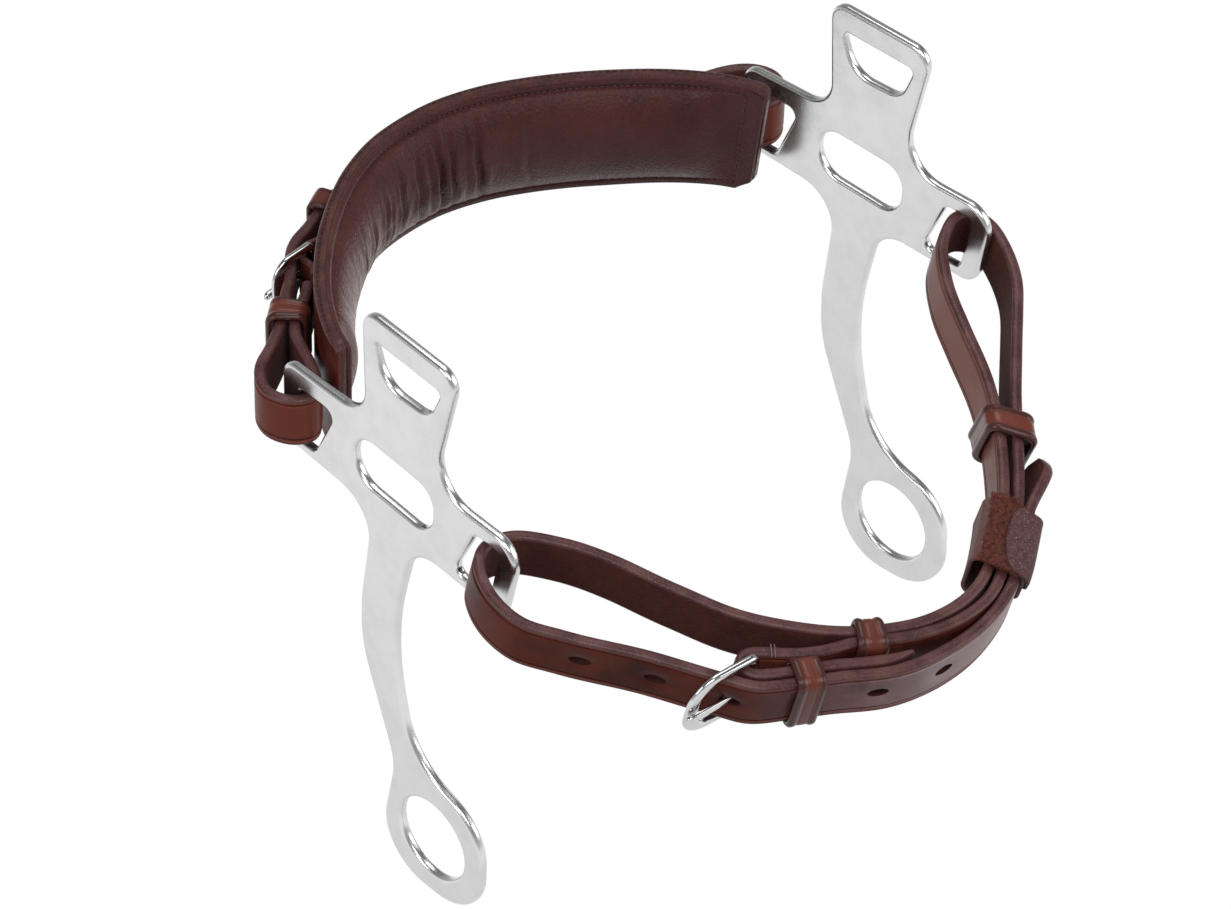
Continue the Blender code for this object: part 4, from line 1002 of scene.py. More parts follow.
def bucklePose(path, heel, toe, outward):
    # A buckle's own axes in a path's plane: ahead from heel to toe, and out on the side of
    # outward; place gives world points from them
    heel = np.asarray(heel, float)
    ahead = unit(np.asarray(toe, float) - heel)
    out = np.array([-ahead[1], ahead[0]])
    out = -out if out @ outward < 0 else out

    def place(along, across, rise):
        along, across, rise = np.broadcast_arrays(along, across, rise)
        return path.lift(heel + along[..., None] * ahead + rise[..., None] * out, across)

    return place, ahead, out


def makeBuckle(prefix, path, heel, toe, outward, length, bodies, nodes):
    # The frame is a closed outline with an oval section that widens and flattens to the toe;
    # the tongue is a flat bar curled round the heel bar and tapering to a rounded tip
    place, ahead, out = bucklePose(path, heel, toe, outward)
    half = buckle["halfWidth"]
    bow = 0.38 * length
    outline = filletLoop([(0, -half, 2.0), (length, -half, bow), (length, half, bow),
                          (0, half, 2.0)], 16)
    normals, _ = loopNormals(outline)
    turn = np.linspace(0, 2 * np.pi, 24, endpoint=False)
    forward = smoothStep(outline[:, 0], 0.45 * length, length)[:, None]
    slim = smoothStep(outline[:, 0], 1.0, 4.0)[:, None]
    wide = buckle["bar"] * (1 - 0.12 * slim + 0.95 * forward)
    tall = buckle["bar"] * (1 - 0.10 * slim - 0.12 * forward)
    side = wide * squarer(np.cos(turn), 0.8)
    rise = tall * squarer(np.sin(turn), 0.8)
    inward = buckle["bar"] * (0.12 * slim - 0.95 * forward)
    grid = place(outline[:, 0, None] + (side + inward) * normals[:, 0, None],
                 outline[:, 1, None] + (side + inward) * normals[:, 1, None], rise)
    item = writeMesh(prefix + "BuckleFrame", grid, [buckleSteel], closedPath=True)
    dress(item, bodies[0], "buckle_steel", nodes[0])

    radius = buckle["bar"] + seam + 0.5 * buckle["prongThick"]
    angle = np.radians(np.linspace(-25, -270, 31))
    curl = radius * np.stack([np.cos(angle), np.sin(angle)], 1)
    reach = np.linspace(0.06, 1.0, 16) * (length + 0.6)
    line = np.stack([reach, np.full(16, radius)], 1)
    tip = np.array([[length + 1.2, radius - 0.06], [length + 1.8, radius - 0.16],
                    [length + 2.2, radius - 0.25]])
    spine = np.concatenate([curl, line, tip])
    normals, _ = loopNormals(spine, closed=False)
    share = np.clip(spine[:, 0] / (length + 2.2), 0, 1) * (np.arange(len(spine)) > 30)
    fade = np.ones(len(spine))
    fade[-3:] = (0.93, 0.75, 0.42)
    fade[:3] = (0.5, 0.8, 0.95)
    halfWide = 0.5 * buckle["prongWidth"] * (1 + 0.12 * np.sin(np.pi * share) - 0.1 * share) * fade
    halfThick = 0.5 * buckle["prongThick"] * (1 + 0.35 * share) * fade
    turn = np.linspace(0, 2 * np.pi, 20, endpoint=False)
    across = halfWide[:, None] * squarer(np.cos(turn), 0.6)
    thick = halfThick[:, None] * squarer(np.sin(turn), 0.6)
    grid = place(spine[:, 0, None] + thick * normals[:, 0, None], across,
                 spine[:, 1, None] + thick * normals[:, 1, None])
    item = writeMesh(prefix + "Tongue", grid, [buckleSteel])
    dress(item, bodies[1], "buckle_steel", nodes[1])
    return ahead, out


def crossingMark(path, start, direction, low):
    # Where a path crosses a straight line, past a given mark and 1 to 22 mm along the line
    gaps = path.line - start
    across = np.abs(gaps[:, 0] * direction[1] - gaps[:, 1] * direction[0])
    ahead = gaps @ direction
    fits = (path.marks > low) & (ahead > 1.0) & (ahead < 22.0)
    return float(path.marks[np.argmin(np.where(fits, across, 1e9))])


# Noseband

noseband = {
    "height": 40.0, "base": 3.2, "crown": 7.7, "rim": 1.2, "rimWidth": 2.9, "padInset": 0.52,
    "chape": 1.5, "raise": 0.5, "corner": 0.9, "innerCorner": 0.06, "padCorner": 1.1,
    "plan": [(0.0, -11.2), (13.0, -10.1), (27.0, -5.7), (38.5, 0.3), (50.0, 8.0), (58.5, 14.9),
             (68.0, 24.2), (76.0, 34.4), (81.4, 43.6), (83.6, 50.2)],
    # place along the pad from 0 to 1, depth, half width, slant
    "creases": [(0.320, 0.70, 1.6, 0.05), (0.398, 2.00, 1.5, 0.10), (0.418, 0.60, 0.9, 0.06),
                (0.445, 1.60, 1.3, 0.12), (0.468, 2.10, 1.4, 0.13), (0.488, 0.80, 0.9, 0.10),
                (0.510, 1.70, 1.4, 0.12), (0.553, 1.20, 1.3, 0.10), (0.585, 0.70, 1.0, 0.06),
                (0.604, 0.80, 1.1, 0.02), (0.652, 0.70, 1.2, -0.02), (0.700, 0.55, 1.1, -0.05)],
    "seamEnd": 5.5, "endCut": 4.0, "endCutLength": 5.0, "shorter": 1.8}

billetPlan = [
    (58.6, 12.5, 0.0), (63.6, 16.2, 0.0), (71.0, 20.4, 0.0), (76.6, 26.0, 0.0),
    (79.8, 32.2, 0.0), (82.8, 38.6, 0.0), (86.2, 43.8, 0.0), (91.4, 47.3, 0.1),
    (95.4, 45.6, 0.6), (97.7, 42.0, 0.9), (98.3, 38.0, 1.0), (97.0, 34.0, 1.0),
    (94.4, 30.7, 0.9), (90.8, 28.0, 0.6), (86.0, 25.7, 0.2), (79.9, 22.2, 0.0),
    (73.2, 17.5, 0.0), (66.9, 12.2, 0.0), (60.6, 7.4, 0.0)]
billet = {"rightReach": 3.2, "heelStation": 0.735, "heading": 3.0, "heelHeight": 2.75,
          "keeperSpot": (71.0, 20.4), "tipHeight": 4.8}

nosePath = StrapPath([(-across, back) for across, back in reversed(noseband["plan"][1:])]
                     + noseband["plan"], levelPlane(0.0))
noseEnd = nosePath.length - noseband["shorter"]


def bandEnds(marks, edge):
    # Heights of the top and bottom edges: the lower corners are cut off at both ends, and the
    # far end narrows and rises a little
    fromEnd = np.minimum(marks, noseEnd - marks)
    far = 1 - smoothStep(marks, 0.0, 50.0)
    top = edge - 1.8 * closeness(fromEnd, 2.6) ** 2 + 0.9 * far
    cut = noseband["endCut"] * closeness(fromEnd, noseband["endCutLength"])
    return top, -edge + 2.6 * far + cut + 0.5 * closeness(fromEnd, 1.2) ** 2, fromEnd


def leanEnd(grid, marks, width):
    # The far end leans: its top is drawn out along the path and its bottom hardly at all
    lean = (1.5 + 1.8 * width / 20.0) * (1 - smoothStep(marks, 0.0, 18.0))
    return grid - lean[..., None] * nosePath.turn(nosePath.along(0.0))


def makeNosebandBase():
    # Outer leather: an upright strap with rounded outer corners and a stitch groove in its
    # top and bottom edges
    marks = strapMarks(0.0, noseEnd, step=1.3)
    thick = noseband["base"]
    top, bottom, fromEnd = bandEnds(marks, 0.5 * noseband["height"] - 0.5)
    share = np.linspace(0, 1, 41)
    place = np.minimum(share, 1 - share) * noseband["height"]
    corner, slight = noseband["corner"], noseband["innerCorner"]
    turn = np.linspace(0, 0.5 * np.pi, 8)[1:]
    across = np.linspace(corner + 0.05, thick - slight, 11)
    edgeOut = np.concatenate([corner - corner * np.cos(turn), across,
                              thick - slight + slight * np.sin(turn[::3])])
    edgeDrop = np.concatenate([corner - corner * np.sin(turn), 0.20 * bell(across, 1.2, 0.28),
                               slight - slight * np.cos(turn[::3])])
    count = len(marks)
    sides = (count, len(edgeOut))
    outerWidth = bottom[:, None] + corner + (top - bottom - 2 * corner)[:, None] * share
    inner = np.linspace(0, 1, 7)[None, 1:-1]
    innerWidth = top[:, None] - 0.2 - (top - bottom - 0.4)[:, None] * inner
    out = np.concatenate([np.broadcast_to(0.25 * bell(place, 2.6, 0.4), (count, 41)),
                          np.broadcast_to(edgeOut, sides), np.full((count, 5), thick),
                          np.broadcast_to(edgeOut[::-1], sides)], 1)
    width = np.concatenate([outerWidth, top[:, None] - edgeDrop, innerWidth,
                            bottom[:, None] + edgeDrop[::-1]], 1)
    close = closeness(fromEnd, 0.9)[:, None] ** 2
    out = 0.5 * thick + (out - 0.5 * thick) * (1 - 0.3 * close)
    grid = leanEnd(nosePath.place(marks[:, None], out, width), marks[:, None], width)
    kinds = np.repeat([0, 1, 2, 1], [40, len(edgeOut) + 1, 4, len(edgeOut) + 1])
    middle = len(marks) // 2
    ring = np.stack([out[middle], width[middle]], 1)
    around = runLengths(np.vstack([ring, ring[:1]])) - 19.0
    item = writeMesh("nosebandBase", grid, [leatherPlain, bandEdge, leatherInside], along=marks,
                     around=around, columnSlots=kinds, capSlot=1)
    return dress(item, "noseband", "brown_leather", "noseband_base")


def padRise(mark, width, inner):
    # The crown is a dome across, (1 - |w/inner|^2)^0.75, that eases to the rim at both ends;
    # creases are slanting valleys, exp(-|a|^1.5), between two soft ridges, and a ripple of
    # two crossed sines lies over the looser stretch
    length = nosePath.length
    across = np.clip(np.abs(width) / inner, 0, 1)
    fromEnd = np.minimum(mark, noseEnd - mark)
    crown = (1 - across ** 2) ** 0.75
    ends = smoothStep(fromEnd, noseband["seamEnd"], noseband["seamEnd"] + 15.0)
    rise = (noseband["crown"] - noseband["rim"]) * crown * ends
    full = crown * ends
    strength = 0.75 + 0.25 * np.cos(width * 0.16 + 1.0)
    for place, drop, half, slant in noseband["creases"]:
        bend = 2.2 * (width / inner) ** 2 + 0.35 * np.sin(width * 0.55 + 40 * place)
        away = (mark - place * length - slant * width + bend) / half
        valley = 1.25 * np.exp(-np.abs(away) ** 1.5)
        ridge = (0.55 * np.exp(-((away - 1.5) * 1.3) ** 2)
                 + 0.35 * np.exp(-((away + 1.5) * 1.3) ** 2))
        rise = rise - drop * full * strength * (valley - ridge)
    loose = (smoothStep(mark, 0.30 * length, 0.45 * length)
             * smoothStep(length - mark, 0.08 * length, 0.3 * length))
    sway = 1.7 * np.sin(width * 0.21 + 0.05 * mark)
    ripple = np.sin(mark * 1.15 + sway) * np.sin(width * 0.33 + mark * 0.12)
    return rise + 0.16 * loose * full * ripple


def makeNosebandPad():
    # The padded inside, as rings: one side, the face of rim and crown, the other side and the
    # back against the outer leather
    low = 0.3
    high = noseEnd - 0.3
    marks = np.arange(low, high, 0.75)
    marks = np.unique(np.round(np.concatenate([marks, [high], low + np.array([0.15, 0.35]),
                                               high - np.array([0.15, 0.35])]), 2))
    edge = 0.5 * noseband["height"] - noseband["padInset"]
    inner = edge - noseband["rimWidth"]
    start = noseband["base"] + 0.03
    rim = noseband["rim"] + seam
    corner = noseband["padCorner"]
    face = np.concatenate([inner * np.sin(np.linspace(0, 0.5 * np.pi, 34)),
                           inner + np.array([0.2, 0.4, 0.65, 1.0, 1.5, 2.0]), [edge - corner]])
    face = np.concatenate([-face[::-1], face[1:]])
    top, bottom, fromEnd = bandEnds(marks, edge)
    mark = marks[:, None]
    width = np.broadcast_to(face[None, :], (len(marks), len(face)))
    rise = padRise(mark, width, inner)
    # The seam pulls a groove between rim and crown with a raised lip on the rim, and the
    # filling gathers in small puckers beside it
    away = np.maximum(np.abs(width) - inner, noseband["seamEnd"] - fromEnd[:, None])
    rise = rise - 0.55 * bell(away, 0.0, 0.38) + 0.16 * bell(away, 0.85, 0.4)
    rise = rise + 0.09 * np.sin(mark * 2.4 + 0.3 * width) * bell(away, -1.6, 1.3)
    out = start + rim + rise
    turn = np.linspace(0, 0.5 * np.pi, 7)[1:]
    sideOut = np.concatenate([start + rim - corner + corner * np.cos(turn),
                              np.linspace(start + rim - corner, start + 0.1, 5)[1:]])
    sideWidth = np.concatenate([edge - corner + corner * np.sin(turn), np.full(4, edge)])
    count = len(marks)
    sides = (count, len(sideOut))
    out = np.concatenate([np.broadcast_to(sideOut[::-1], sides), out,
                          np.broadcast_to(sideOut, sides), np.full((count, 9), start - 0.02)], 1)
    behind = np.linspace(edge - 0.2, -edge + 0.2, 9)
    width = np.concatenate([np.broadcast_to(-sideWidth[::-1], sides), width,
                            np.broadcast_to(sideWidth, sides),
                            np.broadcast_to(behind, (count, 9))], 1)
    height = np.where(width > 0, width * (top / edge)[:, None], -width * (bottom / edge)[:, None])
    close = closeness(fromEnd, 0.8)[:, None] ** 2
    out = start + (out - start) * (1 - 0.25 * close)
    grid = leanEnd(nosePath.place(mark, out, height), mark, height)
    around = np.append(width[0], width[0, -1] - 3.0)
    item = writeMesh("nosebandPad", grid, [padFinish], along=marks, around=around)
    dress(item, "noseband", "pad_leather", "noseband_pad")
    return item


def makePadStitches():
    # Lockstitch sunk in the seam round the rim, and near-black stitches along the top and bottom
    # edges: thread, with the stitch holes' shade painted in
    seamEnd = noseband["seamEnd"]
    line = 0.5 * noseband["height"] - noseband["padInset"] - noseband["rimWidth"]
    out = noseband["base"] + noseband["rim"] + 0.02
    pitch = stitches["pad"]["pitch"]
    marks = np.arange(seamEnd + 1.2, noseEnd - seamEnd - 1.0, pitch)
    widths = np.arange(-line + 3.6, line - 1.0, pitch)
    top, bottom, _ = bandEnds(marks, 1.0)
    edge = line + noseband["rimWidth"]
    upper = line * (edge + top - 1.0) / edge
    lower = line * (-edge + bottom + 1.0) / edge
    seamEnds = (seamEnd, noseEnd - seamEnd)
    every = np.concatenate([marks, marks, np.repeat(seamEnds, len(widths))])
    heights = np.concatenate([upper, lower, widths, widths])
    centres = leanEnd(nosePath.place(every, out, heights), every, heights)
    along = nosePath.turn(nosePath.along(marks))
    normal = nosePath.turn(nosePath.out(marks))
    upright = np.tile([0.0, 0.0, 1.0], (len(widths), 1))
    ends = [np.tile(nosePath.turn(nosePath.out(spot)), (len(widths), 1)) for spot in seamEnds]
    makeStitches("padSeam", "pad", centres, np.concatenate([along, along, upright, upright]),
                 np.concatenate([normal, normal] + ends), "noseband", padThread, "pad_leather")
    # The edge stitches are near black: thread, with the shade of their holes painted in
    marks = np.arange(9.0, noseEnd - 8.0, stitches["edge"]["pitch"])
    along = nosePath.turn(nosePath.along(marks))
    top, bottom, _ = bandEnds(marks, 0.5 * noseband["height"] - 0.5)
    every, heights = np.tile(marks, 2), np.concatenate([top - 0.12, bottom + 0.12])
    centres = leanEnd(nosePath.place(every, 1.2, heights), every, heights)
    facing = np.repeat([[0.0, 0.0, 1.0], [0.0, 0.0, -1.0]], len(marks), axis=0)
    makeStitches("edgeSeam", "edge", centres, np.tile(along, (2, 1)), facing, "noseband",
                 threadWithHoleShade, "brown_leather")


makeNosebandBase()
makeNosebandPad()
makePadStitches()
print("noseband made")


def makeNoseSide(word, side, reach):
    # One end of the noseband: billet, chape, buckle, tongue and the two keepers
    nose = nosePath.moved(levelPlane(noseband["raise"]), side)
    heelMark = billet["heelStation"] * nose.length
    heel = nose.flat(heelMark) - billet["heelHeight"] * nose.out(heelMark)
    heading = math.radians(billet["heading"])
    toe = heel + buckle["noseLength"] * np.array([math.cos(heading), math.sin(heading)])
    ahead, out = makeBuckle(word, nose, heel, toe, np.array([0.6, -0.8]), buckle["noseLength"],
                            (word + "_buckle", word + "_tongue"),
                            (word + "_buckle_frame", word + "_prong"))

    spots = [(across + reach * share, back) for across, back, share in billetPlan]
    for behind, height in ((-1.5, 8.2), (4.0, 7.8), (10.5, 6.0), (20.0, billet["tipHeight"]),
                           (32.5, billet["tipHeight"])):
        spots.append(tuple(nose.flat(heelMark - behind) - height * nose.out(heelMark - behind)))
    path = StrapPath(spots, levelPlane(noseband["raise"]), side)
    lift = buckle["bar"] + seam + 0.5 * buckle["prongThick"]
    crossing = crossingMark(path, heel + lift * out, ahead, 0.55 * path.length)
    holes = [crossing + shift for shift in (-strap["holePitch"], 0.0, strap["holePitch"])]
    item = makeStrap(word + "Billet", path, 1.0, strap["thickness"], tipAt=path.length, holes=holes,
                     holeLengths=[6.0, 8.4, 6.0])
    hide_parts(word + "_billet")
    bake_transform(item)

    rise = billet["heelHeight"] + buckle["bar"]
    # The chape lies on the noseband and rises over the buckle's bar by 0.5 (1 + cos(pi s)),
    # where s goes from 0 to 1 between 1.8 and 7 mm from it
    shifts = np.array([-31.0, -27.0, -23.0, -19.0, -15.0, -11.0, -8.0, -5.4, -2.6, 0.0, 2.6, 5.2,
                       7.0, 9.4])
    hump = 0.5 * (1 + np.cos(np.pi * np.clip((np.abs(shifts) - 1.8) / 5.2, 0, 1)))
    height = 1.5 * seam + 0.5 * noseband["chape"] + rise * hump
    spots = nose.flat(heelMark + shifts) - height[:, None] * nose.out(heelMark + shifts)
    chape = StrapPath(spots, levelPlane(noseband["raise"]), side)
    item = makeStrap(word + "Chape", chape, -1.0, noseband["chape"], creaseDepth=0.15)
    corners = [(-3.6, -1.0), (6.6, -1.0), (6.6, 9.0), (-3.6, 9.0)]
    outline = [nose.flat(heelMark + along) - high * nose.out(heelMark + along)
               for along, high in corners]
    cutHoles(item, [prismPeg(chape, outline, 0.5 * buckle["slot"])])
    dress(item, "noseband", "brown_leather", word + "_chape")

    innerMark = path.nearest(billet["keeperSpot"], 0.0, 0.4 * path.length)
    apart = widestGap(path, path.after(0.5), innerMark, 4.0, -1.0)
    margin, half = keeperRoom()
    makeKeeper(word + "LoopKeeper", path, innerMark, keeperLoop(-apart - margin, margin, half),
               word + "_keeper", word + "_loop_keeper")

    # The tip keeper is an arch over the billet's end, the open part of a rectangle
    high = -(billet["tipHeight"] + margin + 0.4)
    base = -1.5 * seam
    arch = filletLoop([(base, -half, 0.01), (high, -half, 1.6), (high, half, 1.6),
                       (base, half, 0.01)], 10)
    arch = arch[9:31]
    arch = arch[::-1] if arch[0, 1] > 0 else arch
    arch = np.concatenate([[(base, -half)], arch[1:-1], [(base, half)]])
    makeKeeper(word + "TipKeeper", nose, heelMark - 20.5, arch, "noseband", word + "_tip_keeper",
               closed=False)


makeNoseSide("left", 1.0, 0.0)
makeNoseSide("right", -1.0, billet["rightReach"])
print("noseband straps made")


# Curb strap

curb = {
    "tilt": 13.0, "drop": 2.1, "foldRadius": 3.35,
    "inner": [
        (-93.4, -8.8), (-83.4, -4.8), (-73.4, 5.6), (-65.2, 19.6), (-54.6, 38.2), (-40.5, 55.2),
        (-27.6, 66.9), (-8.0, 79.0), (5.0, 82.6), (20.0, 80.4), (35.9, 71.9), (49.2, 59.4),
        (58.0, 47.2), (64.6, 32.0), (70.4, 16.0), (77.0, 3.4), (86.0, -6.6), (93.6, -8.8)],
    "outer": [
        (99.0, -6.6), (102.8, -1.2), (104.8, 6.0), (104.2, 14.8), (98.4, 24.6), (85.4, 43.2),
        (75.0, 60.5), (70.3, 67.2), (61.0, 73.0), (50.9, 78.7), (37.1, 86.9), (25.0, 90.3),
        (7.0, 91.0), (-9.6, 86.6), (-22.0, 79.5), (-33.5, 71.9), (-40.1, 68.0), (-47.0, 63.8),
        (-50.6, 61.8)],
    "middle": [
        (54.9, 66.0), (48.5, 69.9), (38.9, 73.9), (28.1, 80.6), (14.0, 85.8), (1.0, 86.2),
        (-10.4, 82.1), (-30.9, 69.6), (-46.1, 56.0), (-60.2, 43.0), (-80.6, 25.8),
        (-90.6, 16.4), (-96.8, 6.4), (-99.2, -1.2), (-98.0, -6.4)],
    "heel": (65.8, 61.4), "toe": (85.8, 58.8),
    # the turned-back end: places on the outer run, each moved out by the lap
    "turned": [(30.6, 89.6), (37.1, 86.9), (44.0, 83.0), (51.0, 78.7), (58.0, 74.8), (65.0, 71.0)],
    "lap": 3.85, "thread": (60.1, 62.7), "fixedKeeper": (58.4, 74.4), "looseKeeper": (34.0, 73.3),
    "farKeeper": (-47.8, 47.0),
    # marks along the strap and the lean there in degrees
    "twist": ((0, 0.0), (645, 0.0), (672, 1.0), (692, 2.5), (712, 0.0), (750, 0.0), (766, -24.0))}
wrap = {"spot": (-18.2, 73.4), "length": 23.0, "thickness": 1.2, "flap": 1.0, "skew": 0.12,
        "innerRoom": 2.6, "outerRoom": 0.15, "sideRoom": 0.25, "nearTrim": 0.36, "farTrim": 0.40,
        "hinge": (1.2, 7.7)}
pile = {"seed": 7, "count": 5200, "edgeCount": 900, "radius": 0.055}


def curbPlane():
    # Through both rear bars, sloping down to the rear
    leftBar = rearBar(1.0)
    rightBar = rearBar(-1.0)
    right = unit(leftBar - rightBar)
    tilt = math.radians(curb["tilt"])
    back = np.array([0.0, math.cos(tilt), -math.sin(tilt)])
    back = unit(back - (back @ right) * right)
    across = np.cross(right, back)
    return 0.5 * (leftBar + rightBar) - curb["drop"] * across, right, back, across


curbPlace = curbPlane()
innerRun = StrapPath(curb["inner"], curbPlace)
middleRun = StrapPath(curb["middle"], curbPlace)
outerRun = StrapPath(curb["outer"], curbPlace)


def wholeCurb():
    # Turned-back end, fold round the heel bar, middle run, inner run and outside run
    turned = []
    for spot in curb["turned"]:
        mark = outerRun.nearest(spot)
        turned.append(tuple(outerRun.flat(mark) + curb["lap"] * outerRun.out(mark)))
    turn = np.radians([38.0, -12.0, -62.0, -112.0])
    fold = np.array(curb["heel"]) + curb["foldRadius"] * np.stack([np.cos(turn), np.sin(turn)], 1)
    fold = [tuple(spot) for spot in fold] + [(61.4, 60.4)]
    return StrapPath(turned + fold + curb["middle"] + curb["inner"] + curb["outer"], curbPlace)


def makeCurb():
    # The strap with its buckle, a prong slot in the fold, a hole every holePitch from the one
    # that the tongue is in, and its three keepers
    whole = wholeCurb()
    ahead, out = makeBuckle("curb", whole, curb["heel"], curb["toe"], np.array([0.2, 1.0]),
                            buckle["curbLength"], ("curb_buckle", "curb_tongue"),
                            ("curb_buckle_frame", "curb_prong"))
    heel = np.array(curb["heel"])
    lift = buckle["bar"] + seam + 0.5 * buckle["prongThick"]
    crossing = crossingMark(whole, heel + lift * out, ahead, 0.7 * whole.length)
    holes = [crossing + count * strap["holePitch"] for count in (-2, -1, 0, 1, 2, 3)]
    item = makeStrap("curbStrap", whole, -1.0, strap["thickness"], tipAt=whole.length,
                     tipLength=12.0, holes=holes, skive=9.0, twist=curb["twist"])
    turn = np.radians(-130.0 + 26.0 * np.arange(11))
    slot = heel + 5.25 * (np.cos(turn)[:, None] * ahead + np.sin(turn)[:, None] * out)
    cutHoles(item, [prismPeg(whole, slot, 0.5 * buckle["slot"])])
    dress(item, "curb", "brown_leather", "curb_strap")
    makeFoldThreads(whole)

    margin, half = keeperRoom()
    mark = outerRun.nearest(curb["fixedKeeper"])
    makeKeeper("curbFixedKeeper", outerRun, mark, keeperLoop(-margin, curb["lap"] + margin, half),
               "curb", "curb_fixed_keeper")
    mark = innerRun.nearest(curb["looseKeeper"])
    apart = widestGap(innerRun, middleRun, mark, 4.0)
    makeKeeper("curbLooseKeeper", innerRun, mark, keeperLoop(-margin, apart + margin, half),
               "curb_near_slider", "curb_loose_keeper")
    mark = innerRun.nearest(curb["farKeeper"])
    apart = widestGap(innerRun, middleRun, mark, 4.5)
    makeKeeper("curbFarKeeper", innerRun, mark,
               keeperLoop(-margin - 0.2, apart + margin + 0.3, half + 0.2, 2.7),
               "curb_far_slider", "curb_far_keeper", length=9.0, thickness=1.6, skew=(0.2, 0.3))


def makeFoldThreads(whole):
    # Two waxed threads over the strap's top edge beside the fold, each as a half ring of stitches
    mark = whole.nearest(curb["thread"], 0.0, 0.35 * whole.length)
    across = 0.5 * strap["width"]
    rim = 0.5 * strap["thickness"]
    steps = 7
    turn = np.linspace(0.0, np.pi, steps)
    for shift in stitches["fold"]["spots"]:
        spots = whole.place(np.full(steps, mark + shift), (rim + 0.1) * np.cos(turn),
                            across + 0.1 + 0.15 * np.sin(turn))
        ahead = np.diff(spots, axis=0)
        normal = np.tile(whole.turn(np.zeros(2), 1.0), (steps - 1, 1))
        makeStitches("foldThread", "fold", 0.5 * (spots[1:] + spots[:-1]), ahead, normal + 0.01,
                     "curb", threadFinish, "brown_leather")


def makeWrap():
    # A hook-and-loop band round all three runs, with its free end lapped over the outside.
    # Its outer side follows the gap between the runs, measured at seven marks
    mark = innerRun.nearest(wrap["spot"])
    shifts = np.linspace(-12.0, 12.0, 7)
    gaps = np.array([innerRun.distanceTo(outerRun, mark + shift) for shift in shifts])
    thick = wrap["thickness"]
    low = -(0.5 * strap["thickness"] + wrap["innerRoom"] + 0.5 * thick)
    high = gaps.max() + 0.5 * strap["thickness"] + wrap["outerRoom"] + 0.5 * thick
    half = 0.5 * strap["width"] + wrap["sideRoom"] + 0.5 * thick

    def fitPoints(marks, out, width):
        # Points beyond the inner run move in by what the gap has closed, and on the outside
        # the band is trimmed towards its middle mark
        closed = gaps.max() - np.interp(marks - mark, shifts, gaps)
        out = out - closed * smoothStep(out, 1.0, 5.0)
        near = wrap["nearTrim"] * smoothStep(out, 3.0, 8.0) * smoothStep(-width, -8.0, 2.0)
        far = wrap["farTrim"] * smoothStep(out, 1.0, 9.0)
        marks = mark + (marks - mark) * (1 - np.where(marks > mark, near, far))
        return innerRun.place(marks, out, width)

    def fitted(loop, profile, **shape):
        # A band round the loop, fitted in this way
        return fitPoints(*bandFlat(mark, loop, profile, (wrap["skew"], 0.0), **shape))

    loop = filletLoop([(low, -half, 4.0), (high, -half, 1.6), (high, half, 2.4),
                       (low, half, 3.2)], 12)
    profile, around = bandProfile(wrap["length"], thick, ridge=0.0, groove=0.0)
    item = writeMesh("wrapBand", fitted(loop, profile), [backingFinish, pileFinish],
                     along=runLengths(loop), around=around, closedPath=True)
    dress(item, "curb", "wrap_fabric", "curb_wrap")
    makePile(fitPoints, mark, half, thick, low, high)

    # The flap goes up the outside, round the top corner and over to a rounded end, where the
    # width falls as the root of 1 - nearness^2.2
    lap = 0.5 * thick + 0.2 + 0.5 * wrap["flap"]
    sideOut = high + lap
    top = half + lap
    turn = np.radians(np.linspace(8.0, 82.0, 11))
    radius = 2.4 + lap
    corner = np.stack([high - 2.4 + radius * np.cos(turn), half - 2.4 + radius * np.sin(turn)], 1)
    start, free = wrap["hinge"]
    upright = np.stack([np.full(20, sideOut), np.linspace(-half + start, half - 2.6, 20)], 1)
    over = np.linspace(high - 2.6, high - 7.9, 18)
    path = np.concatenate([upright, corner, np.stack([over, np.full(18, top)], 1)])
    way = runLengths(path)
    ends = np.sqrt(np.clip(1 - closeness(way[-1] - way, 6.5) ** 2.2, 0.04, 1))
    ends = ends * (1 - 0.45 * closeness(way, 6.0) ** 1.4)
    profile, around = bandProfile(wrap["length"] + 1.0, wrap["flap"], ridge=0.0, groove=0.0)
    grid = fitted(path, profile, ends=ends, closeEnds=0.7)
    item = writeMesh("wrapFlap", grid, [flapFinish], along=way, around=around)
    dress(item, None, "flap_webbing", "curb_wrap_flap")
    # Points on the band at the flap's hinge and free marks, in metres; nothing uses them
    bend = millimetre * innerRun.place(np.full(2, mark), np.full(2, sideOut),
                                       np.array([start, free]) - half)
    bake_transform(item)


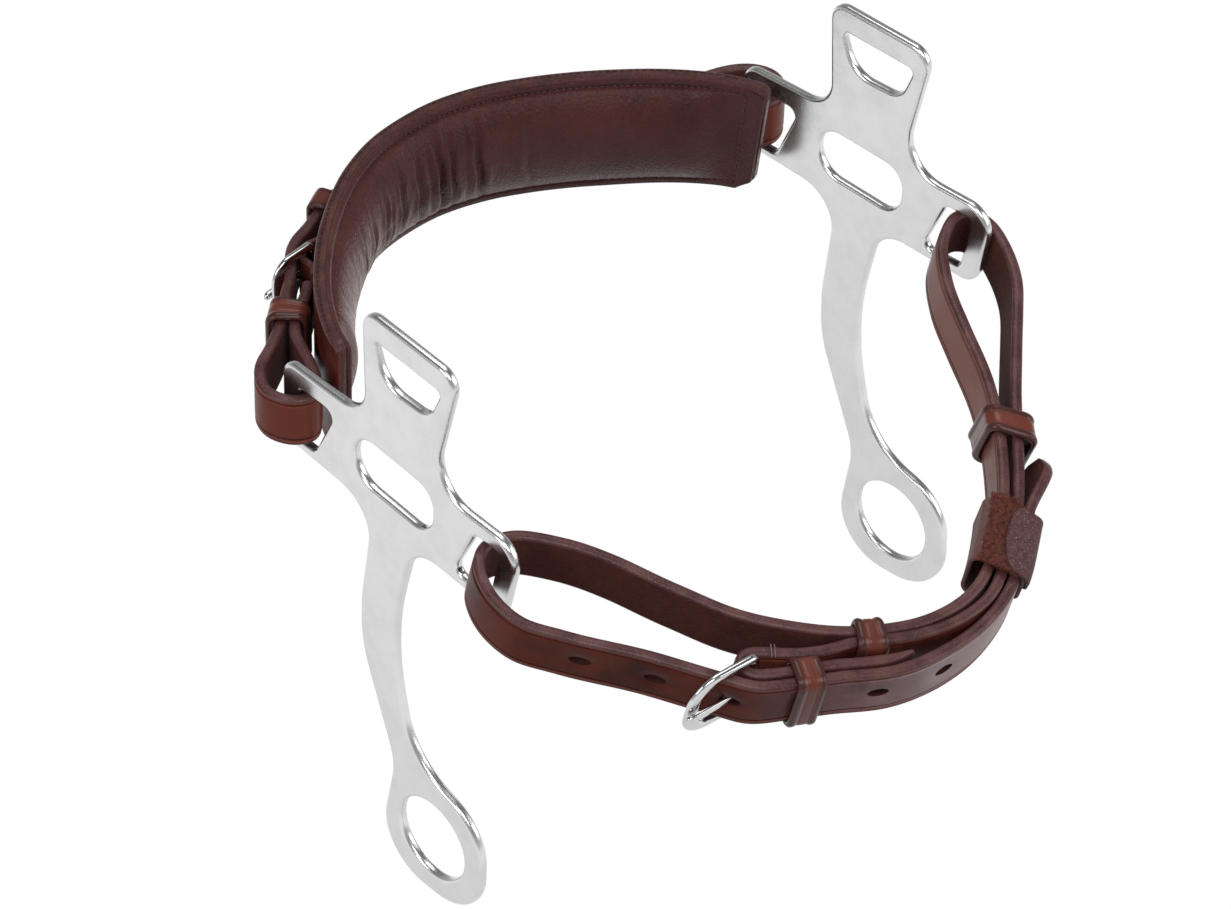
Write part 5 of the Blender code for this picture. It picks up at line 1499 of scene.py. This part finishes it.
def makePile(fitPoints, mark, half, thick, low, high):
    # Loop pile on the wrap's top: short curled fibres, each a three-sided tube bent over as a
    # half circle of its own size, turned at random; the lower edge frays with longer ones
    chance = np.random.default_rng(pile["seed"])
    count = pile["count"]
    edgeCount = pile["edgeCount"]
    every = count + edgeCount
    reach = 0.5 * wrap["length"]
    across = chance.uniform(low + 1.2, high - 1.0, every)
    along = np.concatenate([chance.uniform(-reach + 0.3, reach - 0.3, count),
                            reach * chance.choice([-1.0, 1.0], edgeCount, p=[0.65, 0.35])
                            + chance.normal(0.0, 0.35, edgeCount)])
    size = np.concatenate([chance.uniform(0.28, 0.55, count), chance.uniform(0.4, 0.9, edgeCount)])
    turn = chance.uniform(0, 2 * np.pi, every)
    lean = chance.normal(0.0, 0.25, every)
    arc = np.linspace(0.0, np.pi, 5)
    sway = -np.cos(arc)[None, :] * size[:, None]
    lift = np.sin(arc)[None, :] * size[:, None] * 0.9 + lean[:, None] * 0.2 * np.sin(arc)[None, :]
    spotAlong = along[:, None] + sway * np.cos(turn)[:, None]
    spotAcross = across[:, None] + sway * np.sin(turn)[:, None]
    ring = np.linspace(0, 2 * np.pi, 3, endpoint=False)
    beside = pile["radius"] * np.cos(ring)
    square = (turn + 0.5 * np.pi)[:, None, None]
    marks = spotAlong[..., None] + beside * np.cos(square)
    out = spotAcross[..., None] + beside * np.sin(square)
    width = half + 0.5 * thick - 0.12 + lift[..., None] + pile["radius"] * np.sin(ring)
    grids = fitPoints(marks + wrap["skew"] * half + mark, out, width)
    item = writeMesh("wrapPile", grids, [fibreFinish])
    dress(item, "curb", "wrap_fabric")


makeCurb()
makeWrap()
print("curb strap made")


# Stage: camera, lamps, floor and backdrop

photoCamera = {"place": (812.5, 799.8, 896.6), "right": (-0.68318, 0.729745, 0.02717),
               "down": (0.465887, 0.464203, -0.753308), "view": (-0.562333, -0.501988, -0.657111),
               "lens": 150.7}


def makeCamera():
    # The photograph's camera: its right, up and back axes are the columns of its matrix
    data = bpy.data.cameras.new("photoCamera")
    data.sensor_width = 36.0
    data.lens = photoCamera["lens"]
    data.clip_start = 0.01
    data.clip_end = 50.0
    camera = bpy.data.objects.new("photoCamera", data)
    axes = np.array([photoCamera["right"], -np.array(photoCamera["down"]),
                     -np.array(photoCamera["view"])]).T
    matrix = Matrix(axes.tolist()).to_4x4()
    matrix.translation = np.array(photoCamera["place"]) * millimetre
    camera.matrix_world = matrix
    bpy.context.collection.objects.link(camera)
    bpy.context.scene.camera = camera


lamps = {
    "key": {"place": (0.55, 0.95, 1.50), "aim": (0.0, 0.08, 0.0), "size": 1.0, "power": 13.0},
    "side": {"place": (1.45, -0.15, 0.95), "aim": (0.0, 0.08, 0.0), "size": 0.9, "power": 9.0},
    "back": {"place": (-0.62, -0.45, 1.75), "aim": (0.0, 0.08, 0.0), "size": 0.9, "power": 8.0},
    "low": {"place": (-0.85, 1.20, 0.60), "aim": (0.0, 0.02, 0.0), "size": 0.9, "power": 7.5}}


def makeLamps():
    # Square lamps, each facing its aim: the matrix has side, up and back as columns
    for name, values in lamps.items():
        data = bpy.data.lights.new(name, "AREA")
        data.shape = "SQUARE"
        data.size = values["size"]
        data.energy = values["power"]
        lamp = bpy.data.objects.new(name, data)
        place = np.array(values["place"])
        back = unit(place - np.array(values["aim"]))
        side = unit(np.cross([0.0, 0.0, 1.0], back))
        matrix = Matrix(np.array([side, np.cross(back, side), back]).T.tolist()).to_4x4()
        matrix.translation = place
        lamp.matrix_world = matrix
        bpy.context.collection.objects.link(lamp)


room = {"horizon": 0.50, "above": 0.15, "soft": 0.40}


def makeWorld():
    # White for the camera; in reflections it darkens from the horizon upwards, as the room
    # above the lamps does, and any other ray gets one soft share
    world = bpy.data.worlds.new("studio")
    bpy.context.scene.world = world
    world.use_nodes = True
    tree = world.node_tree
    background = tree.nodes["Background"]
    paths = addNode(tree, "LightPath").outputs
    direct = mathNode(tree, "MAXIMUM", paths["Is Camera Ray"], paths["Is Transmission Ray"])
    direction = addNode(tree, "TexCoord").outputs["Generated"]
    height = addNode(tree, "SeparateXYZ", {0: direction}).outputs["Z"]
    mirrored = mathNode(tree, "MULTIPLY", paths["Is Glossy Ray"],
                        rangeNode(tree, height, 0.0, 0.7, room["horizon"], room["above"]))
    others = rangeNode(tree, paths["Is Glossy Ray"], 0.0, 1.0, room["soft"], 0.0)
    lighting = mathNode(tree, "ADD", mirrored, others)
    strength = mathNode(tree, "MAXIMUM", direct, lighting)
    background.inputs["Color"].default_value = (1.0, 1.0, 1.0, 1.0)
    tree.links.new(strength, background.inputs["Strength"])


ground = {"radius": 3000.0, "back": 80.0, "height": -420.0, "colour": (0.80, 0.80, 0.80)}


def makeFloor():
    # A wide pale disc well below the object, nearly white to the camera, that still takes shade
    turn = np.linspace(0, 2 * np.pi, 64, endpoint=False)
    radius = np.array([1.0, ground["radius"]])[:, None]
    grid = np.zeros((2, 64, 3))
    grid[..., 0] = radius * np.cos(turn)
    grid[..., 1] = radius * np.sin(turn) + ground["back"]
    grid[..., 2] = ground["height"]
    material = bpy.data.materials.new("pale floor")
    material.use_nodes = True
    tree = material.node_tree
    shader = tree.nodes["Principled BSDF"]
    shader.inputs["Roughness"].default_value = 0.9
    # In reflections it is plain white that brightens slowly away from the middle
    paths = addNode(tree, "LightPath").outputs
    seen = mathNode(tree, "MAXIMUM", paths["Is Camera Ray"], paths["Is Transmission Ray"])
    spot = addNode(tree, "TexCoord").outputs["Object"]
    centre = (0.0, ground["back"] * millimetre, ground["height"] * millimetre)
    away = addNode(tree, "VectorMath", {0: spot, 1: centre}, operation="DISTANCE").outputs["Value"]
    mirrored = mathNode(tree, "MULTIPLY", paths["Is Glossy Ray"],
                        rangeNode(tree, away, 0.30, 0.60, 0.86, 1.0))
    tree.links.new(mathNode(tree, "MAXIMUM", seen, mirrored), shader.inputs["Emission Strength"])
    shader.inputs["Emission Color"].default_value = (1.0, 1.0, 1.0, 1.0)
    tree.links.new(mixColours(tree, paths["Is Glossy Ray"], ground["colour"], (0.0, 0.0, 0.0)),
                   shader.inputs["Base Color"])
    floor = writeMesh("floor", grid, [material])


makeCamera()
makeLamps()
makeWorld()
makeFloor()
bpy.context.scene.view_settings.view_transform = "Standard"
print("stage made")
